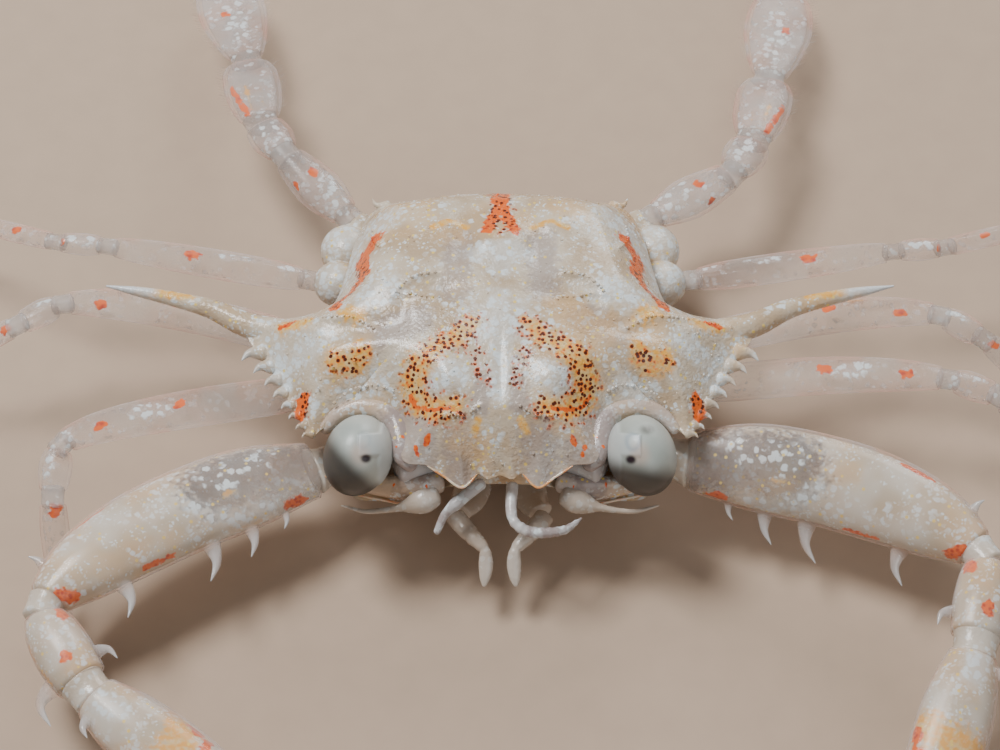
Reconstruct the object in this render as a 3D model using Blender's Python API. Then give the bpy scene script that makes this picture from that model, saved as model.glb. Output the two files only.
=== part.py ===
"""Xiphonectes stephensoni, a small swimming crab, life size and standing on a flat floor.

The crab faces -Y, with its right side at -X. Sizes are in millimetres while the shapes are
made. The last step turns them into metres and puts the origin on the floor under the middle.

Every body is a sphere drawn out: along a limb its rings become the cross sections, and on the
carapace its longitudes run from the middle of the back to the edge.
"""
import math

import bmesh
import bpy
from mathutils import Matrix, Vector
from mathutils.geometry import intersect_point_line

MM = 0.001
GAP = 0.3
ARM_GAP = 0.50
FLOOR = 0.0
UP = Vector((0, 0, 1))
SIDES = {"right": -1, "left": 1}

# Colours, linear, with roughness
SHELL = ((0.72, 0.69, 0.62, 1), 0.35)
CLEAR_LEG = ((0.66, 0.62, 0.60, 1), 0.25)
CLAW = ((0.70, 0.68, 0.60, 1), 0.30)
EYE = ((0.42, 0.46, 0.45, 1), 0.15)
STALK = ((0.48, 0.44, 0.47, 1), 0.30)
MOUTH = ((0.55, 0.48, 0.42, 1), 0.40)

# Carapace
BACK_MIDDLE = Vector((0, 1.2))
DOME_MIDDLE = (0, 0.6)
DOME_REACH = (7.9, 6.7)
DOME_FOOT, CROWN = 4.35, 6.3
DOME_POWER = 0.7
SLOPE_REACH = 1.7
CARAPACE_FLOOR = 3.5
LOBE_FLOOR = 4.42
UNDER_REACH = 0.8
CARAPACE_MESH = (96, 9, 4)
EDGE_STEPS = 12
# Half of the edge, from the middle of the front round to the middle of the rear: x, y, z
CARAPACE_EDGE = (
    (0.00, -4.92, 4.20),  # notch in the middle of the front
    (0.38, -5.05, 4.20),  # small middle lobe
    (0.70, -4.86, 4.20),
    (1.17, -5.28, 4.10),  # broad outer lobe
    (1.72, -4.95, 4.20),
    (2.25, -4.68, 4.40),  # inner lobe of the orbit, over the eyestalk
    (2.80, -4.68, 4.50),
    (3.04, -4.45, 4.52),
    (3.02, -3.90, 4.58),
    (2.98, -3.30, 4.66),
    (3.35, -2.80, 4.74),  # roof of the orbit
    (4.05, -2.56, 4.78),
    (4.75, -2.66, 4.70),
    (5.35, -2.98, 4.45),
    (5.85, -3.50, 4.20),  # outer corner of the orbit
    (6.25, -2.85, 4.15),  # toothed edge
    (6.65, -2.05, 4.10),
    (7.05, -1.25, 4.10),
    (7.55, -0.45, 4.15),
    (8.00, 0.25, 4.20),  # root of the side spine
    (7.70, 0.88, 4.20),
    (6.80, 1.02, 4.15),
    (5.95, 1.25, 4.05),  # hollow edge over the last legs
    (5.30, 1.80, 4.00),
    (4.98, 2.90, 4.00),
    (4.70, 4.20, 4.00),
    (4.35, 5.15, 4.00),
    (3.85, 5.66, 4.00),  # rear corner
    (3.10, 5.78, 4.05),
    (1.50, 6.02, 4.10),
    (0.00, 6.06, 4.10),
)
# Swellings and furrows of the back: x, y, reach in x, reach in y, height
RELIEF = (
    (1.75, -2.10, 0.85, 0.90, 0.20),  # domes over the stomach
    (0.00, -0.40, 0.80, 1.20, 0.08),
    (0.00, 2.60, 0.95, 0.90, 0.18),  # over the heart
    (2.40, 3.90, 1.10, 1.20, 0.20),  # over the gills
    (3.70, 1.20, 1.30, 1.00, 0.18),
    (5.70, 0.20, 1.10, 0.70, 0.12),
    (4.60, -1.50, 0.95, 0.70, 0.10),
    (4.10, -0.45, 0.90, 0.40, -0.16),  # neck furrow
    (1.90, 0.70, 0.90, 0.40, -0.12),
    (1.20, 2.50, 0.35, 1.00, -0.12),
)
TEETH = 8
TOOTHED = (14, 20)  # points of the edge between which they stand
TOOTH_Y = (-3.35, -0.25)
TOOTH_LENGTH = (0.26, 0.58)
TOOTH_WIDTH = (0.15, 0.24)
TOOTH_LEAN = 0.6
SIDE_SPINE = (
    (6.6, 0.45, 4.2),
    (7.97, 0.72, 4.2),
    (9.2, 1.3, 4.3),
    (10.9, 1.72, 4.45),
    (12.6, 2.0, 4.6),
)
SIDE_SPINE_SHAPE = (
    (0, 0.40, 0.40),
    (0.25, 0.42, 0.36),
    (0.5, 0.30, 0.27),
    (0.8, 0.18, 0.18),
    (1, 0.05, 0.05),
)
SIDE_SPINE_MESH = (8, 9)
REAR_SPINE_ROOT = (3.82, 5.60, 4.02)
REAR_SPINE_AIM = (0.90, 0.50, 0.05)
REAR_SPINE = (0.48, 0.17)

# Underside
THORAX_TOP = 3.2
ORBIT_FLOOR = 2.65
ORBIT_FRONT, ORBIT_SIDE = (2.4, 0.5), (1.35, 0.4)  # where it starts, and within what width
STERNUM = 1.75
STERNUM_REACH = 1.5
THORAX_EDGE = (
    (0.00, -4.40, 2.90),
    (1.60, -4.45, 2.80),
    (2.60, -4.75, 2.60),
    (4.20, -4.80, 2.55),  # floor of the orbit
    (4.62, -4.58, 2.60),
    (3.92, -4.10, 2.60),
    (3.40, -3.45, 2.50),
    (4.00, -2.00, 2.50),  # row of leg sockets
    (4.30, 0.00, 2.50),
    (4.20, 2.00, 2.50),
    (3.90, 3.80, 2.50),
    (3.20, 4.90, 2.50),
    (0.00, 5.20, 2.60),
)
THORAX_MESH = (48, 4, 4)
SOCKET_SHAPE = (0.62, 0.45)
SOCKET_MESH = (8, 6)
SOCKET_HEIGHT = 2.35
# How far out a stub starts, as shares of the x and y that it leads to
SOCKET_ROOT, COXA_ROOT = (0.62, 0.80), (0.5, 0.9)
# Swollen bases of the last two legs, seen beside the carapace: middle and radii
COXAE = {
    "leg4": ((5.25, 3.45, 2.70), (0.85, 0.80, 0.72)),
    "swim": ((5.05, 4.72, 2.75), (0.86, 0.95, 0.74)),
}
COXA_MESH = (10, 8)
ABDOMEN_LINE = (
    (0, 5.72, 3.2),
    (0, 5.80, 2.2),
    (0, 5.1, 1.25),
    (0, 3.0, 1.17),
    (0, 0.8, 1.17),
    (0, -0.9, 1.2),
)
ABDOMEN_UP = Vector((0, 0.4, -1))
ABDOMEN_MESH = (12, 12)
ABDOMEN_SHAPE = (
    (0, 2.4, 0.25),
    (0.2, 2.5, 0.25),
    (0.35, 2.2, 0.26),
    (0.6, 1.35, 0.26),
    (0.85, 0.7, 0.26),
    (1, 0.4, 0.25),
)

# Head
EYE_CENTRE = (4.41, -4.18, 4.22)
EYE_RADII = (1.04, 1.30, 1.22)
EYE_TURN = 18
EYE_MESH = (16, 10)
STALK_LINE = ((1.95, -3.72, 3.45), (2.50, -3.86, 3.52), (3.10, -4.08, 3.64))
STALK_SHAPE = ((0, 0.50, 0.38), (1, 0.72, 0.50))
ANTENNULE_LINES = {
    "right": ((0.50, -4.55, 3.30), (1.42, -5.38, 3.22), (1.72, -5.62, 3.02), (1.99, -6.15, 2.75)),
    "left": (
        (0.38, -4.62, 3.36),
        (0.43, -5.95, 3.2),
        (0.85, -6.24, 3.08),
        (2.0, -6.14, 3.0),
        (2.54, -5.71, 3.0),
    ),
}
ANTENNULE_SHAPE = ((0, 0.25, 0.25), (0.5, 0.27, 0.25), (0.7, 0.22, 0.22), (1, 0.10, 0.10))
ANTENNA_LINE = (
    (1.90, -4.84, 3.12),
    (2.65, -5.18, 3.00),
    (3.50, -5.38, 2.95),
    (4.20, -5.42, 2.92),
    (4.95, -5.22, 2.95),
)
ANTENNA_SHAPE = (
    (0, 0.32, 0.26),
    (0.2, 0.36, 0.29),
    (0.35, 0.26, 0.25),
    (0.8, 0.16, 0.16),
    (1, 0.06, 0.06),
)
MAXILLIPED_LINE = (
    (0.72, -1.35, 1.20),
    (0.78, -3.0, 1.20),
    (1.00, -4.0, 1.30),
    (1.30, -4.66, 1.64),
)
MAXILLIPED_SHAPE = ((0, 0.40, 0.25), (0.2, 0.56, 0.25), (0.7, 0.58, 0.25), (1, 0.38, 0.25))
PALP_LINE = (
    (1.48, -4.92, 1.95),
    (0.92, -5.70, 2.0),
    (0.48, -6.22, 1.9),
    (0.44, -6.6, 1.65),
    (0.50, -7.19, 1.3),
)
PALP_SHAPE = ((0, 0.34, 0.25), (0.3, 0.40, 0.27), (0.6, 0.27, 0.25), (0.85, 0.25, 0.22), (1, 0.10, 0.12))

# Limbs: root of the first article on the left side, then each article's name and length
ROOTS = {
    "claw": (4.25, -2.90, 2.05),
    "leg2": (5.70, -0.55, 2.50),
    "leg3": (5.70, 1.05, 2.50),
    "leg4": (6.25, 3.58, 2.72),
    "swim": (5.00, 6.02, 2.86),
}
ARTICLES = {
    "claw": (("ischium", 1.5), ("merus", 9.95), ("carpus", 3.15), ("palm", 5.6), ("finger", 4.9)),
    "leg2": (("merus", 8.6), ("carpus", 1.7), ("propodus", 3.0), ("dactyl", 3.2)),
    "leg3": (("merus", 8.5), ("carpus", 1.6), ("propodus", 3.5), ("dactyl", 4.0)),
    "leg4": (("merus", 6.65), ("carpus", 1.7), ("propodus", 4.0), ("dactyl", 4.6)),
    "swim": (("merus", 3.15), ("carpus", 1.7), ("propodus", 3.3), ("paddle", 5.6)),
}
# Heading from straight outwards, positive to the rear, and climb, in degrees. An article
# whose climb is None comes down to the floor.
POSE = {
    ("claw", "right"): ((-25, 16), (-33, 3), (-119, -2), (-143, -7), (-155, None)),
    ("claw", "left"): ((-14, 16), (-22.6, 3), (-98, -2), (-108.5, -8), (-104, None)),
    ("leg2", "right"): ((-20, 8), (-83, -16), (-95, -41), (-96, None)),
    ("leg2", "left"): ((-3, 8), (-17, -9), (-40, -30), (-54, None)),
    ("leg3", "right"): ((5.3, 9), (-25, -8), (-15, -27), (-11, None)),
    ("leg3", "left"): ((2.3, 9), (-29, -8), (-33, -30), (-27, None)),
    ("leg4", "right"): ((5.3, 9), (6, 0), (26, -16), (16, None)),
    ("leg4", "left"): ((3.4, 9), (6, 0), (26, -16), (16, None)),
    ("swim", "right"): ((46, 9), (59, -3), (78, -10), (76, -13)),
    ("swim", "left"): ((29, 8), (63, -4), (77, -11), (80, -13)),
}
# How far a merus bows to the rear, and the way the flat upper face of a claw arm looks
MERUS_BOW = {
    ("claw", "right"): 0.46,
    ("claw", "left"): 0.52,
    ("leg2", "left"): 0.20,
    ("leg3", "right"): 0.25,
    ("leg3", "left"): 0.30,
}
ARM_UP = {"right": (0, -0.08, 1), "left": (0, -0.5, 0.87)}
# Place along the article, half width, half depth
SHAPES = {
    "claw_ischium": ((0, 0.62, 0.50), (1, 0.75, 0.58)),
    "claw_merus": (
        (0, 0.92, 0.62),
        (0.22, 1.36, 0.80),
        (0.45, 1.42, 0.84),
        (0.65, 1.38, 0.84),
        (0.85, 1.13, 0.78),
        (1, 0.64, 0.58),
    ),
    "claw_carpus": ((0, 0.62, 0.58), (0.25, 0.84, 0.74), (0.6, 0.92, 0.80), (1, 0.80, 0.68)),
    "claw_palm": ((0, 0.74, 0.62), (0.25, 1.05, 0.78), (0.6, 1.16, 0.78), (1, 1.02, 0.70)),
    "merus": (
        (0, 0.46, 0.28),
        (0.15, 0.60, 0.30),
        (0.5, 0.62, 0.30),
        (0.85, 0.52, 0.28),
        (1, 0.38, 0.27),
    ),
    "carpus": ((0, 0.36, 0.27), (0.4, 0.45, 0.29), (1, 0.38, 0.27)),
    "propodus": ((0, 0.37, 0.26), (0.4, 0.38, 0.26), (1, 0.30, 0.25)),
    "dactyl": ((0, 0.28, 0.25), (0.4, 0.30, 0.25), (0.8, 0.22, 0.20), (1, 0.10, 0.12)),
    "swim_merus": ((0, 0.48, 0.40), (0.45, 0.76, 0.46), (1, 0.54, 0.40)),
    "swim_carpus": ((0, 0.52, 0.38), (0.5, 0.70, 0.40), (1, 0.64, 0.34)),
    "swim_propodus": ((0, 0.66, 0.31), (0.35, 0.88, 0.30), (0.8, 0.90, 0.28), (1, 0.68, 0.26)),
    "swim_paddle": (
        (0, 0.58, 0.25),
        (0.2, 0.90, 0.26),
        (0.5, 1.14, 0.26),
        (0.8, 0.92, 0.25),
        (1, 0.30, 0.16),
    ),
}
# Breadth of each walking leg against the widths above
LEG_BREADTH = {"leg2": 1.08, "leg3": 1.03, "leg4": 0.85}
# Sides and rings of an article's mesh
SIDES_OF = {"claw": 12, "leg2": 8, "leg3": 8, "leg4": 8, "swim": 10}
RINGS_OF = {
    "ischium": 7,
    "claw_merus": 11,
    "merus": 9,
    "carpus": 7,
    "palm": 9,
    "finger": 9,
    "propodus": 8,
    "dactyl": 8,
    "paddle": 10,
}
TIP_HEIGHT = 0.10
JOINT_BEND = 0.45
CURVE_STEPS = 48
RING_CROWDING = 1.4
BEVEL = 0.12

# Spines of the claw arm: article, place along it, turn round it, length, half width, lean along it
CLAW_SPINES = (
    ("merus", 0.15, 0, 0.55, 0.16, 0.4),
    ("merus", 0.28, 0, 1.00, 0.24, 0.4),
    ("merus", 0.43, 0, 1.30, 0.28, 0.5),
    ("merus", 0.77, 0, 1.15, 0.26, 0.6),
    ("merus", 0.92, 165, 0.50, 0.20, 0.3),
    ("carpus", 0.74, 10, 0.75, 0.22, 1.6),
    ("carpus", 0.80, 180, 1.35, 0.27, 1.9),
    ("palm", 0.10, 150, 0.70, 0.22, 0.9),
    ("palm", 0.93, 60, 0.60, 0.20, 1.2),
)
SPINE_MESH = (6, 6)
SPINE_SHAPE = ((0, 1.0, 1.0), (0.35, 0.95, 0.95), (0.7, 0.50, 0.50), (1, 0.12, 0.12))
SPINE_SUNK = (0.3, 0.12)  # share of its length and depth more
SPIKE_SIDES, SPIKE_TIP = 6, 0.03
SPIKE_SUNK = (0.35, 0.1)
FINGER_SPREAD = 0.58
FINGER_BOW = 0.30
FINGER_MIDDLE = 0.45
# How far the root and the tip of a finger stand off the palm's line, as shares of the spread
FINGER_STANCE = (0.95, 0.45)
FINGER_SUNK = 0.9
FINGER_SHAPE = ((0, 0.46, 0.48), (0.4, 0.40, 0.42), (0.8, 0.27, 0.30), (1, 0.09, 0.12))
FINGER_SIDES = 8
# Teeth of a finger: how many, where they start and end along it, height and half width
BITE = (5, (0.34, 0.78), 0.16, 0.20)


def along(knots, place):
    """The values at one place of a smooth curve through knots of (place, value, ...)."""
    place = min(max(place, knots[0][0]), knots[-1][0])
    at = max(k for k in range(len(knots) - 1) if knots[k][0] <= place)
    before, start, end = knots[max(at - 1, 0)], knots[at], knots[at + 1]
    after = knots[min(at + 2, len(knots) - 1)]
    span = end[0] - start[0]
    t = (place - start[0]) / span
    values = []
    for a, b, c, d in zip(before[1:], start[1:], end[1:], after[1:]):
        rise = (c - a) / (end[0] - before[0]) * span
        fall = (d - b) / (after[0] - start[0]) * span
        values.append(hermite(b, c, rise, fall, t))
    return values


def hermite(start, end, leave, arrive, t):
    """The point at t on the curve that leaves start and arrives at end with the given slopes."""
    return (
        start * (2 * t**3 - 3 * t**2 + 1)
        + leave * (t**3 - 2 * t**2 + t)
        + end * (3 * t**2 - 2 * t**3)
        + arrive * (t**3 - t**2)
    )


def line_through(points, bend=0.8):
    """A function from 0..1 to (point, direction) on a smooth line through the points."""
    points = [Vector(p) for p in points]
    steps = [b - a for a, b in zip(points, points[1:])]
    heads = [steps[0].normalized()]
    heads += [(a.normalized() + b.normalized()).normalized() for a, b in zip(steps, steps[1:])]
    heads.append(steps[-1].normalized())

    def curve(t):
        at = min(int(t), len(steps) - 1)
        size = steps[at].length * bend
        return hermite(points[at], points[at + 1], heads[at] * size, heads[at + 1] * size, t - at)

    return evenly(curve, len(steps))


def line_length(points):
    return sum((Vector(b) - Vector(a)).length for a, b in zip(points, points[1:]))


def evenly(curve, last, trim=(0, 0)):
    """The line of curve(0..last) by its length, less what trim takes off its two ends."""
    marks = [last * k / CURVE_STEPS for k in range(CURVE_STEPS + 1)]
    points = [curve(t) for t in marks]
    reach = [0.0]
    for a, b in zip(points, points[1:]):
        reach.append(reach[-1] + (b - a).length)

    def line(place):
        far = trim[0] + place * (reach[-1] - trim[0] - trim[1])
        at = max(k for k in range(CURVE_STEPS) if reach[k] <= far + 1e-9)
        share = (far - reach[at]) / (reach[at + 1] - reach[at])
        t = marks[at] + share * (marks[at + 1] - marks[at])
        low, high = max(t - 1e-3, 0), min(t + 1e-3, last)
        return curve(t), (curve(high) - curve(low)).normalized()

    return line


def frame_at(ahead, up):
    """The directions across and flat-side up of a section that faces ahead."""
    across = up.cross(ahead).normalized()
    return across, ahead.cross(across)


def stations(rings, length, blunt_start, blunt_end):
    """Place and fullness of each ring, from pole to pole, with a small bevel at a blunt end."""
    bevel = min(BEVEL, 0.2 * length) / length
    start = [(0, 0), (0, 0.72), (bevel, 1)]
    if not blunt_start:
        start = [(0, 0), (0.25 * bevel, 0.6), (bevel, 1)]
    end = [(1 - bevel, 1), (1, 0.72), (1, 0)]
    if not blunt_end:
        end = [(1 - bevel, 1), (1 - 0.25 * bevel, 0.6), (1, 0)]
    inner = rings + 1 - len(start) - len(end)
    middle = [(bevel + (1 - 2 * bevel) * (k + 1) / (inner + 1), 1) for k in range(inner)]
    return start + middle + end


def drawn_out(line, shape, sides, rings, length, up=UP, blunt=(True, True)):
    """A bmesh of a sphere drawn out along a line, with half widths and half depths from shape."""
    bm = bmesh.new()
    bmesh.ops.create_uvsphere(bm, u_segments=sides, v_segments=rings, radius=1)
    places = stations(rings, length, *blunt)
    for vert in bm.verts:
        ring = rings - round(math.acos(max(-1, min(1, vert.co.z))) / math.pi * rings)
        turn = math.atan2(vert.co.y, vert.co.x)
        place, full = places[ring]
        centre, ahead = line(place)
        across, flat = frame_at(ahead, up)
        wide, deep = along(shape, place)
        vert.co = centre + across * wide * full * math.cos(turn) + flat * deep * full * math.sin(turn)
    return bm


def on_floor(bm):
    """Presses what lies under the floor up to it, which leaves a small flat."""
    for vert in bm.verts:
        vert.co.z = max(vert.co.z, FLOOR)
    return bm


def edge_points(half, count):
    """Evenly spaced points round the closed edge whose x >= 0 half is given, from its front."""
    loop = [Vector(p) for p in half] + [Vector((-x, y, z)) for x, y, z in half[-2:0:-1]]
    fine = []
    for at in range(len(loop)):
        before, start, end, after = (loop[(at + k) % len(loop)] for k in (-1, 0, 1, 2))
        leave, arrive = (end - before) * 0.5, (after - start) * 0.5
        fine += [hermite(start, end, leave, arrive, k / EDGE_STEPS) for k in range(EDGE_STEPS)]
    reach = [0.0]
    for a, b in zip(fine, fine[1:] + fine[:1]):
        reach.append(reach[-1] + (b - a).length)
    points, at = [], 0
    for k in range(count):
        far = reach[-1] * k / count
        while reach[at + 1] < far:
            at += 1
        share = (far - reach[at]) / (reach[at + 1] - reach[at])
        points.append(fine[at].lerp(fine[(at + 1) % len(fine)], share))
    return points


def inset_from(edge, place):
    """How far a place on the plan lies inside the edge."""
    nearest = math.inf
    for a, b in zip(edge, edge[1:] + edge[:1]):
        _, share = intersect_point_line(place, a.xy, b.xy)
        nearest = min(nearest, (a.xy.lerp(b.xy, min(1, max(0, share))) - place).length)
    return nearest


def spread_body(half, mesh, top, bottom):
    """A body whose equator is an edge and whose faces are top and bottom(place, inset, rim height)."""
    count, upper, lower = mesh
    rings = upper + lower
    edge = edge_points(half, count)
    bm = bmesh.new()
    bmesh.ops.create_uvsphere(bm, u_segments=count, v_segments=rings, radius=1)
    for vert in bm.verts:
        ring = round(math.acos(max(-1, min(1, vert.co.z))) / math.pi * rings)
        rim = edge[round(math.atan2(vert.co.y, vert.co.x) / math.tau * count) % count]
        out = ring / upper if ring <= upper else (rings - ring) / lower
        place = BACK_MIDDLE.lerp(rim.xy, 1 - (1 - out) ** RING_CROWDING)
        face = top if ring <= upper else bottom
        vert.co = (*place, face(place, inset_from(edge, place), rim.z))
    return bm


def rounded(rim_z, level, inset, reach):
    """A height that leaves the rim and bends over to a level within a reach."""
    short = 1 - min(1, inset / reach)
    return rim_z + (level - rim_z) * (1 - short * short)


def swell(x, y):
    """The height of the back's swellings and furrows."""
    total = 0
    for cx, cy, rx, ry, height in RELIEF:
        total += height * math.exp(-(((abs(x) - cx) / rx) ** 2) - ((y - cy) / ry) ** 2)
    return total


def back_height(place, inset, rim_z):
    dx, dy = ((place[k] - DOME_MIDDLE[k]) / DOME_REACH[k] for k in (0, 1))
    dome = max(0, 1 - dx * dx - dy * dy) ** DOME_POWER
    height = DOME_FOOT + (CROWN - DOME_FOOT) * dome + swell(*place)
    return rounded(rim_z, height, inset, SLOPE_REACH)


def step(value, start, width):
    """0 before start, 1 past its width, smooth between."""
    t = min(1, max(0, (value - start) / width))
    return t * t * (3 - 2 * t)


def by_orbit(place):
    """1 where the eyestalk runs between carapace and thorax, 0 away from it."""
    x, y = place
    return step(-y, *ORBIT_FRONT) * step(abs(x), *ORBIT_SIDE)


def carapace_under(place, inset, rim_z):
    level = CARAPACE_FLOOR + (LOBE_FLOOR - CARAPACE_FLOOR) * by_orbit(place)
    return rounded(rim_z, level, inset, UNDER_REACH)


def thorax_top(place, inset, rim_z):
    level = THORAX_TOP + (ORBIT_FLOOR - THORAX_TOP) * by_orbit(place)
    return rounded(rim_z, level, inset, UNDER_REACH)


def thorax_bottom(place, inset, rim_z):
    return rounded(rim_z, STERNUM, inset, STERNUM_REACH)


def ball(centre, radii, mesh, turn=0):
    """An ellipsoid, turned about the vertical by an angle in degrees."""
    bm = bmesh.new()
    bmesh.ops.create_uvsphere(bm, u_segments=mesh[0], v_segments=mesh[1], radius=1)
    bm.transform(Matrix.Diagonal((*radii, 1)))
    bm.transform(Matrix.Rotation(math.radians(turn), 4, "Z"))
    bm.transform(Matrix.Translation(centre))
    return bm


def spike(root, direction, length, width):
    """A cone that stands on root, with a part of its length sunk in."""
    direction = Vector(direction).normalized()
    sunk = SPIKE_SUNK[0] * length + SPIKE_SUNK[1]
    bm = bmesh.new()
    bmesh.ops.create_cone(
        bm,
        cap_ends=True,
        segments=SPIKE_SIDES,
        radius1=width,
        radius2=SPIKE_TIP,
        depth=length + sunk,
    )
    turn = direction.to_track_quat("Z", "Y").to_matrix().to_4x4()
    bm.transform(Matrix.Translation(Vector(root) + direction * (length - sunk) / 2) @ turn)
    return bm


def curved_spine(root, out, lean, length, width):
    """A spine that leaves its root straight out and bends over by lean towards its tip."""
    sunk = root - out * (SPINE_SUNK[0] * length + SPINE_SUNK[1])
    middle = root + (out + lean * 0.4).normalized() * length * 0.5
    tip = root + (out + lean).normalized() * length
    shape = [(place, wide * width, deep * width) for place, wide, deep in SPINE_SHAPE]
    up = out.cross(lean)
    return drawn_out(line_through((sunk, middle, tip)), shape, *SPINE_MESH, length, up, (True, False))


def material_of(name, finish):
    colour, roughness = finish
    mat = bpy.data.materials.new(name)
    mat.use_nodes = True
    shader = mat.node_tree.nodes["Principled BSDF"]
    shader.inputs["Base Color"].default_value = colour
    shader.inputs["Roughness"].default_value = roughness
    shader.inputs["Metallic"].default_value = 0
    mat.diffuse_color = colour
    return mat


def node(name, bm, finish, more=()):
    """Adds one piece of the crab: its body and, by a Boolean union, what grows from it."""
    obj = mesh_object(name, bm)
    if more:
        unite(obj, [mesh_object(f"{name}_{at}", extra) for at, extra in enumerate(more)])
    obj.data.materials.append(material_of(name, finish))
    obj.data.shade_smooth()
    obj.data.set_sharp_from_angle(angle=math.radians(50))
    crab.objects.link(obj)
    return obj


def mesh_object(name, bm):
    mesh = bpy.data.meshes.new(name)
    bm.to_mesh(mesh)
    bm.free()
    return bpy.data.objects.new(name, mesh)


def unite(obj, pieces):
    """Fuses the pieces into obj and keeps its largest closed surface."""
    group = bpy.data.collections.new(obj.name + "_pieces")
    bpy.context.scene.collection.children.link(group)
    group.objects.link(obj)
    parts = bpy.data.collections.new(obj.name + "_grown")
    bpy.context.scene.collection.children.link(parts)
    for piece in pieces:
        parts.objects.link(piece)
    union = obj.modifiers.new("Union", "BOOLEAN")
    union.operation = "UNION"
    union.operand_type = "COLLECTION"
    union.collection = parts
    union.solver = "MANIFOLD"
    graph = bpy.context.evaluated_depsgraph_get()
    fused = bpy.data.meshes.new_from_object(obj.evaluated_get(graph))
    obj.modifiers.clear()
    obj.data = fused
    keep_largest(fused)
    group.objects.unlink(obj)
    for piece in pieces:
        bpy.data.objects.remove(piece)
    bpy.data.collections.remove(parts)
    bpy.data.collections.remove(group)


def keep_largest(mesh):
    bm = bmesh.new()
    bm.from_mesh(mesh)
    bmesh.ops.triangulate(bm, faces=bm.faces)
    left, shells = set(bm.verts), []
    while left:
        shell, front = set(), [left.pop()]
        while front:
            vert = front.pop()
            shell.add(vert)
            near = {edge.other_vert(vert) for edge in vert.link_edges} & left
            left -= near
            front += near
        shells.append(shell)
    shells.sort(key=len)
    for shell in shells[:-1]:
        bmesh.ops.delete(bm, geom=list(shell), context="VERTS")
    bm.to_mesh(mesh)
    bm.free()


class Limb:
    """A limb's joints, and the line that its articles follow from joint to joint."""

    def __init__(self, kind, side):
        self.kind, self.side = kind, side
        self.up = Vector(ARM_UP[side]).normalized() if kind == "claw" else UP
        out = SIDES[side]
        x, y, z = ROOTS[kind]
        self.joints = [Vector((out * x, y, z))]
        for (_, length), (heading, climb) in zip(ARTICLES[kind], POSE[kind, side]):
            start = self.joints[-1]
            if climb is None:
                climb = -math.degrees(math.asin((start.z - TIP_HEIGHT) / length))
            level = math.cos(math.radians(climb)) * length
            turn = math.radians(heading)
            rise = math.sin(math.radians(climb)) * length
            ahead = Vector((out * math.cos(turn) * level, math.sin(turn) * level, rise))
            self.joints.append(start + ahead)

    def heads(self, at):
        """The direction of the line at a joint, midway between the articles that meet there."""
        steps = [(b - a).normalized() for a, b in zip(self.joints, self.joints[1:])]
        if at == 0:
            return steps[0]
        if at == len(steps):
            return steps[-1]
        return (steps[at - 1] + steps[at]).normalized()

    def article(self, at):
        """The line of one article, short of its joints by half the gap, and its length."""
        start, end = self.joints[at], self.joints[at + 1]
        length = (end - start).length
        last = at == len(self.joints) - 2
        leave, arrive = (self.heads(k) * length * JOINT_BEND for k in (at, at + 1))
        bow = Vector((0, 0, 0))
        if ARTICLES[self.kind][at][0] == "merus":
            bow.y = MERUS_BOW.get((self.kind, self.side), 0)

        def curve(t):
            return hermite(start, end, leave, arrive, t) + bow * math.sin(math.pi * t) ** 1.5

        gap = ARM_GAP if self.kind == "claw" else GAP
        return evenly(curve, 1, (gap / 2, 0 if last else gap / 2)), length

    def shape(self, at):
        """The article's half widths and half depths along it."""
        article = ARTICLES[self.kind][at][0]
        knots = SHAPES.get(f"{self.kind}_{article}") or SHAPES[article]
        breadth = LEG_BREADTH.get(self.kind, 1)
        return tuple((place, wide * breadth, deep) for place, wide, deep in knots)

    def socket(self):
        """The stubs of the thorax that carry the limb, and the swollen base that some have."""
        head = self.heads(0)
        end = self.joints[0] - head * GAP / 2
        _, wide, deep = self.shape(0)[0]
        taper = ((0, *SOCKET_SHAPE), (1, wide, deep))
        root = socket_root(self.joints[0], SOCKET_ROOT)
        if self.kind not in COXAE:
            return [stub((root, end - head * 0.4, end), taper)]
        (x, y, z), radii = COXAE[self.kind]
        middle = Vector((SIDES[self.side] * x, y, z))
        root = socket_root(middle, COXA_ROOT)
        inner = stub((root, middle), ((0, *SOCKET_SHAPE), (1, *SOCKET_SHAPE)))
        return [inner, ball(middle, radii, COXA_MESH), stub((middle, end - head * 0.3, end), taper)]


def socket_root(outer, shares):
    return Vector((shares[0] * outer.x, shares[1] * outer.y, SOCKET_HEIGHT))


def stub(points, shape):
    return drawn_out(line_through(points), shape, *SOCKET_MESH, (points[-1] - points[0]).length)


def spine_on(limb, at, place, turn, length, width, lean):
    """A spine on an article: turn 0 is its front edge, 90 its upper face."""
    line, _ = limb.article(at)
    centre, ahead = line(place)
    across, flat = frame_at(ahead, limb.up)
    wide, deep = along(limb.shape(at), place)
    front = across if limb.side == "right" else -across
    angle = math.radians(turn)
    out = front * math.cos(angle) * wide + flat * math.sin(angle) * deep
    return curved_spine(centre + out, out.normalized(), ahead * lean, length, width)


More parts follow.
